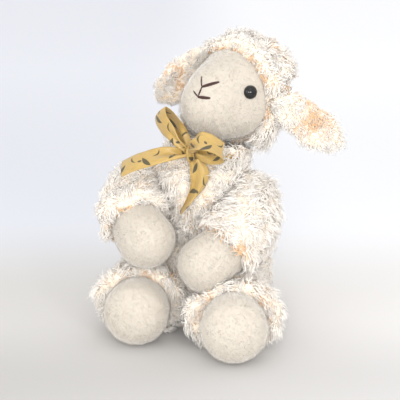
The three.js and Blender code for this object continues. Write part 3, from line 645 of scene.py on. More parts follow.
def grown_lengths(roots, normals, lengths, length, bare, keep_off, avoid):
    """How long each lock grows at its root, and whether one grows there at all."""
    kept = np.ones(len(lengths), bool)
    for i, (place, way) in enumerate(zip(map(Vector, roots), map(Vector, normals))):
        if bare(place) or (avoid is not None and inside(avoid, place + way * 0.001)):
            kept[i] = False
            continue
        lengths[i] *= length(place)
        if keep_off is not None:
            hit, _, _, gap = keep_off.ray_cast(place + way * 0.0005, way, 0.02)
            if hit is not None:
                lengths[i] = min(lengths[i], max(0.0016, 1.25 * gap))
    return kept, lengths


def nearest_hearts(roots, hearts):
    """The clump that each lock belongs to, found for 2000 locks at a time."""
    nearest = np.empty(len(roots), int)
    for start in range(0, len(roots), 2000):
        some = roots[start:start + 2000, None, :]
        nearest[start:start + 2000] = ((some - roots[None, hearts, :]) ** 2).sum(2).argmin(1)
    return nearest


def curled_spines(roots, normals, flow, side, reach, luck, lift, rings, settings):
    """The middle lines of locks that rise, bend over the way they flow and curl as they go."""
    _, high, phase, winding, hand, curling, _ = luck.T[:, :, None]
    rise = lift * (0.42 + 0.38 * high)
    phase = phase * FULL_TURN
    turns = (0.5 + 0.6 * winding) * FULL_TURN * np.where(hand < 0.5, -1, 1)
    curl = settings.curl * (0.5 + curling)
    room = np.minimum(1, reach / settings.lock_length)
    spines = []
    for s in rings:
        at = roots + reach * (normals * rise * (0.95 * s - 0.38 * s * s) + flow * (0.15 * s + 0.6 * s * s))
        swing = curl * room * min(1, 1.6 * s)
        spines.append(at + swing * (
            side * np.sin(phase + turns * s) + normals * 0.6 * np.cos(phase + turns * s)))
    return np.stack(spines)


def drawn_together(spines, roots, hearts, nearest, reach, rings, settings):
    """The spines drawn to the middle lock of their clump, most at their tips."""
    gaps = ((roots - roots[hearts][nearest]) ** 2).sum(1)
    near = np.exp(-gaps / (0.9 * settings.clump) ** 2)[:, None]
    long = np.minimum(1, reach / (0.7 * settings.lock_length))
    drawn = spines.copy()
    for k, s in enumerate(rings):
        pull = 0.6 * s ** 1.3 * near * long
        drawn[k] = spines[k] * (1 - pull) + spines[k][hearts][nearest] * pull
    return drawn


def swept_locks(spines, side, radius, rings, points, levels, depth):
    """The vertices of every lock: its three-sided section, tapered and carried along its spine."""
    ahead = np.empty_like(spines)
    ahead[0] = spines[1] - spines[0]
    ahead[-1] = spines[-1] - spines[-2]
    ahead[1:-1] = spines[2:] - spines[:-2]
    ahead = unit(ahead)
    over = unit(np.cross(ahead, np.broadcast_to(side, ahead.shape) + 1e-4))
    beside = np.cross(over, ahead)
    fat = np.interp(rings, (0.0, 0.26, 0.52, 0.77, 1.0), (1.0, 1.15, 1.0, 0.65, 0.0))
    angles = np.arctan2(points[:, 1], points[:, 0])
    cells = np.empty((len(side), len(points), 3))
    for index, level in enumerate(levels):
        cells[:, index] = spines[level] + radius * fat[level] * (
            math.cos(angles[index]) * beside[level] + depth * math.sin(angles[index]) * over[level])
    cells[..., 2] = np.maximum(cells[..., 2], LOWEST)
    return cells


def locks_mesh(name, cells, faces, colours):
    """One mesh of many locks with the same faces, which carries their pile attribute."""
    count, per_lock = cells.shape[:2]
    corners = (faces[None] + (np.arange(count) * per_lock)[:, None, None]).reshape(-1)
    triangles = len(corners) // 3
    mesh = bpy.data.meshes.new(name)
    mesh.vertices.add(count * per_lock)
    mesh.vertices.foreach_set("co", cells.astype(np.float32).reshape(-1))
    mesh.loops.add(len(corners))
    mesh.loops.foreach_set("vertex_index", corners.astype(np.int32))
    mesh.polygons.add(triangles)
    mesh.polygons.foreach_set("loop_start", np.arange(0, len(corners), 3, dtype=np.int32))
    mesh.polygons.foreach_set("use_smooth", np.ones(triangles, bool))
    mesh.update(calc_edges=True)
    mesh.attributes.new("pile", "FLOAT_COLOR", "POINT").data.foreach_set("color", colours.reshape(-1))
    return mesh


def grow_pile(name, skin, settings, seed, keep_off=None, avoid=None, bare=lambda place: False,
              length=lambda place: 1.0, comb=combed_down, tan=lambda place: 0.0,
              width=1.0, lift=1.0, tight=1.0, rings=(0.0, 0.34, 0.68, 1.0)):
    """Locks of pile on a skin, as one mesh. keep_off gives the surfaces that locks stop short of,
    avoid those that they don't start inside, and bare(place) is true where none grow. length, comb
    and tan give a lock's length, the way it is combed and its tan share at a place. tight is the
    share of the usual spacing, and rings are the shares of a lock's length that have a section."""
    dice = np.random.default_rng(seed)
    _, _, area = scatter(skin, 1, dice)
    count = int(area / (settings.spacing * tight) ** 2)
    roots, normals, _ = scatter(skin, count, dice)
    luck, sway = dice.random((count, 7)), dice.normal(size=(count, 5))
    clumps = max(8, int(area / settings.clump ** 2))
    clump_tones = dice.normal(size=clumps)
    lengths = settings.lock_length * (0.75 + 0.5 * luck[:, 0])
    kept, lengths = grown_lengths(roots, normals, lengths, length, bare, keep_off, avoid)
    chosen = np.flatnonzero(kept)[:settings.most_locks]
    roots, normals, lengths, luck, sway = (x[chosen] for x in (roots, normals, lengths, luck, sway))

    # The first roots are the hearts of the clumps, and each lock flows with its nearest heart
    hearts = np.arange(min(clumps, len(roots)))
    nearest = nearest_hearts(roots, hearts)
    heart_flow = flow_field(roots[hearts], normals[hearts], comb, seed)
    flow = square_to(heart_flow[nearest] + 0.75 * sway[:, :3], normals)
    side = np.cross(normals, flow)
    reach = lengths[:, None]
    spines = curled_spines(roots, normals, flow, side, reach, luck, lift, rings, settings)
    spines = drawn_together(spines, roots, hearts, nearest, reach, rings, settings)

    # A lock whose tip went into another surface is pulled back to its root
    for tree in (tree for tree in (keep_off, avoid) if tree is not None):
        for i in range(len(roots)):
            if inside(tree, Vector(spines[-1, i]), 0.008):
                spines[:, i] = roots[i] + 0.4 * (spines[:, i] - roots[i])

    points, faces = lock_form(rings[1:-1])
    levels = np.array([min(range(len(rings)), key=lambda k: abs(rings[k] - point[2])) for point in points])
    radius = settings.lock_width * width * (0.7 + 0.6 * luck[:, 6:7])
    cells = swept_locks(spines, side, radius, rings, points, levels, settings.lock_depth)
    tone = np.clip(0.5 + 0.28 * sway[:, 3] + 0.2 * clump_tones[nearest], 0, 1)
    warm = np.array([tan(heart) + 0.9 * noise.noise(heart / 0.012) - 0.12
                     for heart in map(Vector, roots[hearts])])
    warm = np.clip(warm[nearest] + 0.08 * sway[:, 4], 0, 1)
    colours = np.ones((*cells.shape[:2], 4), np.float32)
    colours[..., 0] = np.array(rings)[levels][None, :]
    colours[..., 1] = tone[:, None]
    colours[..., 2] = warm[:, None]
    return placed(name, locks_mesh(name, cells, faces, colours))


def smooth_curve(stops, shares):
    """Points of a centripetal curve through stops, at shares of its run of stops."""
    stops = np.array(stops, float)
    if stops.ndim == 1:
        stops = stops[:, None]
    last = len(stops) - 1
    found = []
    for share in shares:
        place = share * last
        first = min(int(place), last - 1)
        weight = place - first
        b, c = stops[first], stops[first + 1]
        a = stops[first - 1] if first > 0 else 2 * b - c
        d = stops[first + 2] if first + 2 <= last else 2 * c - b
        gaps = [max(np.linalg.norm(q - p), 1e-9) ** 0.5 for p, q in ((a, b), (b, c), (c, d))]
        t1 = ((b - a) / gaps[0] - (c - a) / (gaps[0] + gaps[1]) + (c - b) / gaps[1]) * gaps[1]
        t2 = ((c - b) / gaps[1] - (d - b) / (gaps[1] + gaps[2]) + (d - c) / gaps[2]) * gaps[1]
        found.append(b + t1 * weight + (-3 * b + 3 * c - 2 * t1 - t2) * weight ** 2
                     + (2 * b - 2 * c + t1 + t2) * weight ** 3)
    return np.array(found)


RIBBON_COLUMNS = 17


def ribbon_strip(name, centres, ways, widths, ribbon, pleats=1.5, closed=False, start=0.0):
    """A strip of ribbon along a line, its length in widths and its area. Where it is gathered it
    keeps its width in pleats, and start shifts the print along it."""
    rows, columns = len(centres), RIBBON_COLUMNS
    form = bmesh.new()
    bmesh.ops.create_grid(form, x_segments=columns - 1, y_segments=rows - 1, size=0.5)
    weave = form.loops.layers.uv.new("weave")
    ahead = np.gradient(centres, axis=0)
    if closed:
        ahead[0] = ahead[-1] = centres[1] - centres[-2]
    ahead = unit(ahead)
    across = square_to(ways, ahead)
    over = np.cross(ahead, across)
    steps = np.linalg.norm(np.diff(centres, axis=0), axis=1)
    runs = np.concatenate([[0], np.cumsum(steps)]) / ribbon.width + start
    for vertex in form.verts:
        row = min(rows - 1, max(0, round((vertex.co.y + 0.5) * (rows - 1))))
        share, wide = vertex.co.x, widths[row]
        spare = max(0.0, (ribbon.width / wide) ** 2 - 1)
        depth = math.sqrt(spare) * wide / (4 * pleats)
        fold = depth * math.sin(FULL_TURN * pleats * share + 0.6)
        cup = 0.0009 * (4 * share * share - 0.5) * min(1, wide / ribbon.width)
        vertex.co = Vector(centres[row] + across[row] * share * wide + over[row] * (fold + cup))
        vertex.index = row * columns + round((share + 0.5) * (columns - 1))
    for face in form.faces:
        for corner in face.loops:
            row, column = divmod(corner.vert.index, columns)
            corner[weave].uv = (column / (columns - 1), runs[row])
    if closed:
        bmesh.ops.remove_doubles(form, verts=form.verts, dist=1e-6)
    mesh = mesh_from(form, name)
    area = sum(polygon.area for polygon in mesh.polygons)
    piece = placed(name, mesh, material_of("Printed Satin", satin_material, ribbon))
    shell = piece.modifiers.new("Cloth", "SOLIDIFY")
    shell.thickness = ribbon.thickness
    shell.offset = 0
    return piece, runs[-1] - start, area


# Where things are


def middle_of(node_name):
    """The middle of a CAD node's box."""
    low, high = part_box(node_name)
    return (Vector(low) + Vector(high)) / 2


BODIES = frame["record"]["behaviour"]["bodies"]
HEAD_TURN = {joint["name"]: joint for joint in frame["record"]["behaviour"]["joints"]}["head_turn"]
HEAD_MIDDLE = Vector(HEAD_TURN["pos_m"])
NECK_AXIS = Vector(HEAD_TURN["axis"]).normalized()
MUZZLE_WAY = Vector((-0.428, -0.903, 0.044)).normalized()
BACK_WAY = -MUZZLE_WAY
CROWN_WAY = Vector((0.343, -0.116, 0.932))
CROWN_WAY = (CROWN_WAY - MUZZLE_WAY * CROWN_WAY.dot(MUZZLE_WAY)).normalized()
LEFT_WAY = BACK_WAY.cross(CROWN_WAY)
KNOT_MIDDLE = middle_of("ribbon_knot")
BAND_MIDDLE = middle_of("ribbon_neck_band")

# The camera, as fitted to the photograph: the way from the lamb to it, its right side, its place
# along its right, above and back ways, and half the picture and the lens's reach in pixels
FRONT_WAY = Vector((0.2173, -0.9412, 0.2588)).normalized()
CAMERA_RIGHT = Vector((0.9744, 0.2250, 0.0)).normalized()
CAMERA_PLACE = (0.002, 0.0915, 0.845)
HALF_PICTURE, LENS_REACH = 200, 1066.7


def in_head(place):
    """A place as distances to the lamb's left, forwards and up from the middle of its head."""
    away = Vector(place) - HEAD_MIDDLE
    return away.dot(LEFT_WAY), away.dot(MUZZLE_WAY), away.dot(CROWN_WAY)


def others_tree(body, more=()):
    """The surfaces of every other body, and of more nodes."""
    others = [name for other, nodes in BODIES.items() if other != body for name in nodes]
    return cad_tree(others + list(more))


# Finishing a part


def dress(skin, piles, body, replaced):
    """Finishes a furry part: its backing cloth and its locks, and hides the CAD parts that they stand for.
    """
    settings = bpy.context.scene.lamb_pile
    skin.data.materials.append(material_of("Pile Backing", backing_material, settings))
    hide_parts(*replaced)
    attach(skin, body)
    for pile in piles:
        if not pile.data.materials:
            pile.data.materials.append(material_of("Shaggy Pile", pile_material, settings))
        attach(pile, body)


def finish_nap(nap, body):
    """Gives short fibres the nap's material, slot and body."""
    nap.data.materials.append(material_of("Nap", nap_material, bpy.context.scene.lamb_cloth))
    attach(nap, body)


def smooth_part(name, nodes, body, seed, voxel, rounds, relief, nap_length=lambda place: 0.15):
    """A face, paw or foot: its smooth padded cloth, and the short nap that stands on it."""
    scene = bpy.context.scene
    skin = filled_skin(name, nodes, voxel, 0, rounds, relief)
    keep_above_floor(skin.data)
    skin.data.materials.append(material_of("Short Pile", smooth_material, scene.lamb_cloth))
    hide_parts(*nodes)
    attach(skin, body)
    nap = grow_pile(name.replace("cloth", "nap"), skin, scene.lamb_pile, seed, length=nap_length,
                    width=0.23, lift=1.6, tight=0.48, bare=lambda p: p.z < NAP_BEGINS,
                    rings=(0.0, 0.5, 1.0))
    finish_nap(nap, body)
    return skin


# Operators


class LAMB_OT_torso(Operator):
    """The shaggy body with its filling and bean pouch, and its tail"""
    bl_idname = "lamb.torso"
    bl_label = "Torso"

    def execute(self, context):
        settings = context.scene.lamb_pile
        nodes = ["torso_cover", "torso_stuffing", "seat_bean_pouch"]
        bow = [n for n in BODIES["torso"] if n.startswith("ribbon") and n != "ribbon_neck_band"]
        around, bow_tree = others_tree("torso", bow), cad_tree(bow)

        def belly(place):
            """How far a place is round the front of the belly, below the chest."""
            return past(-place.y, 0.015, 0.02) if place.z < 0.125 else 0.0

        def above_band(place):
            return (place - BAND_MIDDLE).dot(NECK_AXIS)

        def torso_tufts(place):
            """Tufts that sink under the neck's band and swell where the belly has room."""
            near = fade(abs(above_band(place)), 0.008)
            room = past(gap_to(around, place), 0, 0.014)
            return curled_tufts(place) * (1 - near) - 0.6 * near + 2 * belly(place) * room

        def over_band(place):
            """1 below the band and -1 above it, the ways that its locks are combed over it."""
            away = above_band(place)
            return fade(abs(away + 0.007), 0.01) - fade(abs(away - 0.007), 0.01)

        def torso_length(place):
            beside_bow = 0.5 if gap_to(bow_tree, place) < 0.007 else 1.0
            return (0.9 + 0.4 * belly(place) + 0.7 * abs(over_band(place))) * beside_bow

        skin = filled_skin("torso_cloth", nodes, voxel=0.0016, inset=0.0012, rounds=6,
                           relief=settings.tuft, dents=torso_tufts)
        keep_above_floor(skin.data)
        piles = [grow_pile(name, skin, settings, seed, around, tight=1.4, lift=0.8,
                           bare=lambda p: p.z < LOCKS_BEGIN, length=torso_length,
                           comb=lambda p: combed_down(p) + NECK_AXIS * 1.8 * over_band(p),
                           tan=lambda p: 0.45 * belly(p) if p.z < 0.07 else 0.0)
                 for name, seed in (("torso_pile", 11), ("torso_underpile", 13))]
        dress(skin, piles, "torso", nodes)

        stub = filled_skin("tail_cloth", ["tail"], voxel=0.0013, inset=0.0012, rounds=3,
                           relief=settings.tuft, dents=curled_tufts)
        tuft = grow_pile("tail_pile", stub, settings, 12, cad_tree(["torso_cover"]), length=lambda p: 0.8)
        dress(stub, [tuft], "torso", ["tail"])
        return {"FINISHED"}


class LAMB_OT_head(Operator):
    """The smooth face over its filling, and the shaggy hood and topknot"""
    bl_idname = "lamb.head"
    bl_label = "Head"

    def execute(self, context):
        settings = context.scene.lamb_pile
        face = smooth_part("face_cloth", ["face_panel", "head_stuffing"], "head", 25,
                           voxel=0.0015, rounds=5, relief=0.0004,
                           nap_length=lambda p: 0.15 + 0.25 * past(-in_head(p)[2], 0.004, 0.012))
        face_tree = surface_tree(face.data)
        temple = middle_of("eye_right")
        nodes = ["head_back_panel", "crown_gusset"]
        hood = filled_skin("hood_cloth", nodes + ["head_stuffing"], voxel=0.0016, inset=0.0016,
                           rounds=6, relief=settings.tuft, dents=curled_tufts)

        def hairline(place):
            return fade(gap_to(face_tree, place), 0.012)

        def hood_comb(place):
            """Back from the hairline, and further down the lower it is."""
            low = past(-in_head(place)[2], -0.004, 0.02)
            return BACK_WAY * 1.6 * hairline(place) + Vector((0, 0, -0.3 - 1.2 * low))

        def hood_length(place):
            """Shorter at the hairline, and longer on the cheeks."""
            cheek = past(-in_head(place)[2], 0.004, 0.015)
            return (1 + 1.1 * cheek) * (1 - 0.4 * hairline(place))

        def off_temple(place):
            """Whether a place is out of the small ring before the right eye."""
            away = place - temple
            return not 0.0045 < away.length < 0.0078 or not away.dot(FRONT_WAY) > 0.5 * away.length

        pile = grow_pile("hood_pile", hood, settings, 21, others_tree("head"), avoid=face_tree,
                         tan=lambda p: 1.1 * fade(gap_to(face_tree, p), 0.006),
                         comb=hood_comb, length=hood_length, tight=0.92)
        fringe = grow_pile("temple_fringe", face, settings, 27, tight=0.3, lift=2.0, width=0.6,
                           length=lambda p: 0.55, comb=lambda p: Vector(), bare=off_temple)
        finish_nap(fringe, "head")
        dress(hood, [pile], "head", nodes)
        return {"FINISHED"}


class LAMB_OT_ears(Operator):
    """The flap ears: shaggy backs and tan curled linings"""
    bl_idname = "lamb.ears"
    bl_label = "Ears"

    def execute(self, context):
        self.ear(context.scene, "left", 31, back_length=0.9, tan_raised=0, tan_reach=0.02)
        self.ear(context.scene, "right", 33, back_length=0.65, tan_raised=0.007, tan_reach=0.013)
        return {"FINISHED"}

    def ear(self, scene, side, seed, back_length, tan_raised, tan_reach):
        """One ear: its back, and its lining with a tan middle."""
        settings = scene.lamb_pile
        body, back, lining = f"ear_{side}", f"ear_{side}_back", f"ear_{side}_lining"
        around = others_tree(body)
        skin = filled_skin(f"{body}_cloth", [back], voxel=0.0012, inset=0.0003, rounds=3,
                           relief=0.6 * settings.tuft, dents=curled_tufts)
        pile = grow_pile(f"{body}_pile", skin, settings, seed, around, length=lambda p: back_length,
                         lift=0.8, width=0.85, tight=0.85)
        dress(skin, [pile], body, [back])
        pad = filled_skin(f"{lining}_cloth", [lining], voxel=0.0011, inset=0, rounds=3,
                          relief=0.5 * settings.tuft, dents=curled_tufts)
        heart = mesh_middle(pad.data) + UP * tan_raised
        curls = grow_pile(f"{body}_curls", pad, settings, seed + 1, around, length=lambda p: 0.7,
                          lift=0.8, width=0.8, tight=0.7,
                          tan=lambda p: 1.4 * fade((p - heart).length, tan_reach))
        tinted = tuple(scene.lamb_cloth.ear_colour)
        curls.data.materials.append(material_of("Ear Pile", pile_material, settings, tinted))
        dress(pad, [curls], body, [lining])


class LAMB_OT_limbs(Operator):
    """The arms and legs: shaggy sleeves, and smooth paws and feet"""
    bl_idname = "lamb.limbs"
    bl_label = "Arms and legs"

    def execute(self, context):
        # The seeds of the nap and the sleeve, the sleeve's length and how far its cuff reaches out
        limbs = [("arm_left", "paw", 44, 47, 0.95, 1.1), ("arm_right", "paw", 48, 51, 0.95, 0.3),
                 ("leg_left", "foot", 44, 48, 1.15, 0), ("leg_right", "foot", 48, 52, 1.15, 0)]
        for limb in limbs:
            self.limb(context.scene.lamb_pile, *limb)
        return {"FINISHED"}

    def limb(self, settings, body, tip, nap_seed, pile_seed, full, cuff_reach):
        """One arm or leg: its smooth pad and its shaggy sleeve."""
        sleeve, stuffing, end = f"{body}_sleeve", f"{body}_stuffing", f"{body}_{tip}"
        around, sleeve_tree = others_tree(body), cad_tree([sleeve])
        pad = smooth_part(f"{end}_cloth", [end, stuffing], body, nap_seed,
                          voxel=0.0016, rounds=4, relief=0.0003)
        pad_tree, heart = surface_tree(pad.data), mesh_middle(pad.data)

        def cuff(place):
            return fade(gap_to(pad_tree, place), 0.012)

        def sleeve_tufts(place):
            """Tufts that sink where the sleeve's cloth runs on under the pad."""
            under_pad = past(gap_to(sleeve_tree, place), 0, 0.003)
            return curled_tufts(place) * (1 - under_pad) - 0.6 * under_pad

        def sleeve_comb(place):
            return combed_down(place) + 3 * cuff_reach * cuff(place) * (heart - place).normalized()

        skin = filled_skin(f"{sleeve}_cloth", [sleeve, stuffing], voxel=0.0016, inset=0.0004,
                           rounds=4, relief=settings.tuft, dents=sleeve_tufts)
        keep_above_floor(skin.data)
        pile = grow_pile(f"{sleeve}_pile", skin, settings, pile_seed, around, avoid=pad_tree,
                         bare=lambda p: p.z < LOCKS_BEGIN or gap_to(sleeve_tree, p) > 0.004,
                         length=lambda p: full + cuff_reach * cuff(p), comb=sleeve_comb,
                         tan=lambda p: 0.8 * fade(gap_to(pad_tree, p), 0.006))
        dress(skin, [pile], body, [sleeve])


class LAMB_OT_eyes(Operator):
    """The domed black safety eyes, and the washers behind them"""
    bl_idname = "lamb.eyes"
    bl_label = "Eyes"

    def execute(self, context):
        for side in ("left", "right"):
            self.eye(context.scene.lamb_cloth, side)
        return {"FINISHED"}

    def eye(self, cloth, side):
        """One eye: a flattened dome that stands where the CAD eye does, away from its washer."""
        dome_height, base_height = 0.0038, 0.0012
        washer = frame["nodes"][f"eye_washer_{side}"]
        washer.data.materials.clear()
        washer.data.materials.append(material_of("Washer Plastic", washer_material))
        middle = mesh_middle(washer.data)
        shell = [Vector(v.co) for v in frame["nodes"][f"eye_{side}"].data.vertices]
        apex = max(shell, key=lambda point: (point - middle).length)
        way = (apex - middle).normalized()
        radius = max(((point - middle) - way * (point - middle).dot(way)).length for point in shell)
        rim = apex - way * dome_height
        form = bmesh.new()
        bmesh.ops.create_uvsphere(form, u_segments=40, v_segments=24, radius=1)
        for vertex in form.verts:
            height = vertex.co.z
            vertex.co *= radius
            vertex.co.z = height * (dome_height if height > 0 else base_height)
        stand = Matrix.Translation(rim) @ UP.rotation_difference(way).to_matrix().to_4x4()
        bmesh.ops.transform(form, matrix=stand, verts=form.verts)
        mesh = mesh_from(form, f"eye_{side}_dome")
        dome = placed(mesh.name, mesh, material_of("Eye Plastic", eye_material, cloth))
        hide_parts(f"eye_{side}")
        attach(dome, "head")


class LAMB_OT_stitching(Operator):
    """The satin-stitched nose and mouth"""
    bl_idname = "lamb.stitching"
    bl_label = "Nose and mouth"

    def execute(self, context):
        # Each stroke's ends in mm to the lamb's left and up from the middle of its head, and radius
        nose, mouth = (1.9, 9.3), (3.2, 2.3)
        strokes = [(nose, (-4.1, 14.2), 0.55), (nose, (8.6, 15.8), 1.15), (nose, mouth, 0.6),
                   (mouth, (-2.4, 4.2), 0.55), (mouth, (10.5, 4.6), 1.15)]
        steps, apart = 12, 10
        bars = [self.bar(start, end, fat, steps) for start, end, fat in strokes]
        form = bmesh.new()
        weave = form.loops.layers.uv.new("weave")
        for index in range(len(bars)):
            bmesh.ops.create_cone(form, cap_ends=True, segments=10, radius1=1, radius2=1, depth=1,
                                  matrix=Matrix.Translation((apart * index, 0, 0.5)))
        for cut in range(1, steps):
            bmesh.ops.bisect_plane(form, geom=form.verts[:] + form.edges[:] + form.faces[:],
                                   plane_co=(0, 0, cut / steps), plane_no=(0, 0, 1))

        def turn_of(place):
            """The turn of a place round the upright tube that it is on."""
            return math.atan2(place.y, place.x - apart * round(place.x / apart))

        def section(place):
            """The section of a bar that a place on its tube belongs to."""
            return bars[round(place.x / apart)][round(place.z * steps)]

        for face in form.faces:
            middle = turn_of(face.calc_center_median())
            for corner in face.loops:
                place = corner.vert.co
                _, _, _, size, run = section(place)
                turn = middle + math.remainder(turn_of(place) - middle, FULL_TURN)
                corner[weave].uv = (turn / math.pi * size, run)
        for vertex in form.verts:
            turn = turn_of(vertex.co)
            at, across, normal, size, _ = section(vertex.co)
            height = 0.0003 + 0.75 * size * math.sin(turn)
            vertex.co = at + across * size * math.cos(turn) + normal * height
        bmesh.ops.recalc_face_normals(form, faces=form.faces)
        mesh = mesh_from(form, "nose_mouth_thread")
        brown = material_of("Brown Thread", thread_material, context.scene.lamb_cloth)
        thread = placed(mesh.name, mesh, brown)
        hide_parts("nose_mouth_stitching")
        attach(thread, "head")
        return {"FINISHED"}

    def bar(self, start, end, fat, steps):
        """Where a stitch lies on the face, how its section stands there, its radius and its run."""
        surface = bpy.data.objects["face_cloth"]
        found = []
        run = 0.0
        for k in range(steps + 1):
            share = k / steps
            left = (start[0] + (end[0] - start[0]) * share) * MM
            up = (start[1] + (end[1] - start[1]) * share) * MM
            origin = HEAD_MIDDLE + LEFT_WAY * left + CROWN_WAY * up + MUZZLE_WAY * 0.08
            hit, at, normal, _ = surface.ray_cast(origin, BACK_WAY)
            if not hit:
                raise RuntimeError("a stitch misses the face")
            along = (LEFT_WAY * (end[0] - start[0]) + CROWN_WAY * (end[1] - start[1])).normalized()
            along = (along - normal * along.dot(normal)).normalized()
            taper = math.sin(math.pi * min(1, max(0.06, share * 0.94 + 0.05))) ** 0.5
            size = fat * MM * (0.35 + 0.65 * taper)
            run += (at - found[-1][0]).length if found else 0
            found.append((at.copy(), normal.cross(along), normal.copy(), size, run))
        return found


class LAMB_OT_bow(Operator):
    """The satin ribbon: neck band, knot, two loops and two tails"""
    bl_idname = "lamb.bow"
    bl_label = "Bow"

    def execute(self, context):
        ribbon = context.scene.lamb_ribbon
        self.band(ribbon)
        self.knot(ribbon)
        self.loops(ribbon)
        self.tails(ribbon)
        return {"FINISHED"}

    def finish(self, made, node_name, held, rests_on, ribbon):
        """Hides the CAD node that a strip stands for, and sets the strip on the torso."""
        piece, length, area = made
        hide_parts(node_name)
        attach(piece, "torso")

    def band(self, ribbon):
        """A gathered ring round the neck, drawn in from the CAD band's outside."""
        low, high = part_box("ribbon_neck_band")
        radius = (high[0] - low[0]) / 2 - 0.0042
        one = NECK_AXIS.cross(Vector((0, 1, 0))).normalized()
        other = NECK_AXIS.cross(one)
        turns = np.linspace(0, FULL_TURN, 73)
        centres = np.array([BAND_MIDDLE + (one * math.cos(t) + other * math.sin(t)) * radius for t in turns])
        ways = np.array([NECK_AXIS[:]] * len(turns))
        widths = np.full(len(turns), 0.0065)
        made = ribbon_strip("ribbon_band", centres, ways, widths, ribbon, pleats=2.5, closed=True)
        self.finish(made, "ribbon_neck_band", "stretched", ["torso_cloth"], ribbon)

    def knot(self, ribbon):
        """A short lumpy turn of ribbon round the middle of the bow."""
        half_depth, half_height = 0.0038, 0.0052
        out = Vector((-0.25, -0.97, 0.05)).normalized()
        tall = (UP - out * out.z).normalized()
        turns = np.linspace(0, FULL_TURN, 41)
        centres = []
        for t in turns:
            lump = 1 + 0.06 * math.sin(3 * t)
            centres.append(KNOT_MIDDLE + out * half_depth * math.cos(t) * lump
                           + tall * half_height * math.sin(t) * lump)
        ways = np.array([out.cross(tall) + tall * 0.12] * len(turns))
        widths = np.full(len(turns), 0.0095)
        made = ribbon_strip("ribbon_tie", np.array(centres), ways, widths, ribbon, closed=True, start=3)
        self.finish(made, "ribbon_knot", "folded", ["ribbon_band"], ribbon)

    def loops(self, ribbon):
        """Two loops, each along a rounded outline that starts and ends in the knot."""
        knot_width = 0.007
        # The ways out, over and across, and how far it reaches out, to the front and rear in mm
        shapes = {
            "right": ((-0.63, 0.07, 0.77), (-0.47, -0.83, -0.31), (0.62, -0.55, 0.55), 38, 5, 3.5),
            "left": ((0.87, -0.45, 0.17), (-0.444, -0.612, 0.654), (-0.15, 0.75, 0.6), 30, 13, 4),
        }
        for side, (out, over, across, reach, front, rear) in shapes.items():
            start = 4.5 / reach
            outline = [(start, 0.3), (0.32, 0.9), (0.6, 1.1), (0.88, 0.8), (1, 0), (0.88, -0.75),
                       (0.62, -1), (0.38, -0.75), (start, -0.3)]
            stops, widths = [], []
            for share, bulge in outline:
                push = bulge * (front if bulge > 0 else rear)
                stops.append(KNOT_MIDDLE + Vector(out) * reach * MM * share + Vector(over) * push * MM)
                open_share = past(share, start, 0.45)
                opened = open_share * open_share * (3 - 2 * open_share)
                widths.append(knot_width + (ribbon.width - knot_width) * opened)
            shares = np.linspace(0, 1, 61)
            centres = smooth_curve([stop[:] for stop in stops], shares)
            wide = smooth_curve(widths, shares)[:, 0]
            ways = np.array([across] * len(shares))
            made = ribbon_strip(f"ribbon_bow_{side}", centres, ways, wide, ribbon, start=len(side))
            self.finish(made, f"ribbon_loop_{side}", "folded", ["ribbon_tie"], ribbon)

    def tails(self, ribbon):
        """Two tails, one laid over the right shoulder and one down the chest."""
        shoulder, hang = (-0.08, 0.79, 0.62), (0.96, 0.23, 0)
        # Places from the knot in mm, the way across there, and the width in mm
        runs = {
            "right": [((-3.9, -1.5, -1.2), shoulder, 7), ((-17, -8, -0.7), shoulder, 14),
                      ((-30, -12, -3.2), shoulder, 16), ((-41, -12.5, -7.2), shoulder, 16),
                      ((-50, -11, -12.2), shoulder, 16)],
            "left": [((3.6, -3.5, -4.2), hang, 9), ((7.1, -5, -13.7), hang, 14),
                     ((5.6, -4.5, -23.7), hang, 10.5), ((-0.4, -4, -34.7), hang, 5),
                     ((-7.4, -4, -44.7), hang, 0.8)],
        }
        for side, stops in runs.items():
            shares = np.linspace(0, 1, 41)
            centres = smooth_curve([stop[0] for stop in stops], shares) * MM + np.array(KNOT_MIDDLE)
            ways = smooth_curve([stop[1] for stop in stops], shares)
            wide = smooth_curve([stop[2] for stop in stops], shares)[:, 0] * MM
            made = ribbon_strip(f"ribbon_end_{side}", centres, ways, wide, ribbon, pleats=1,
                                start=5 + len(side))
            self.finish(made, f"ribbon_tail_{side}", "draped", ["torso_pile", "ribbon_tie"], ribbon)


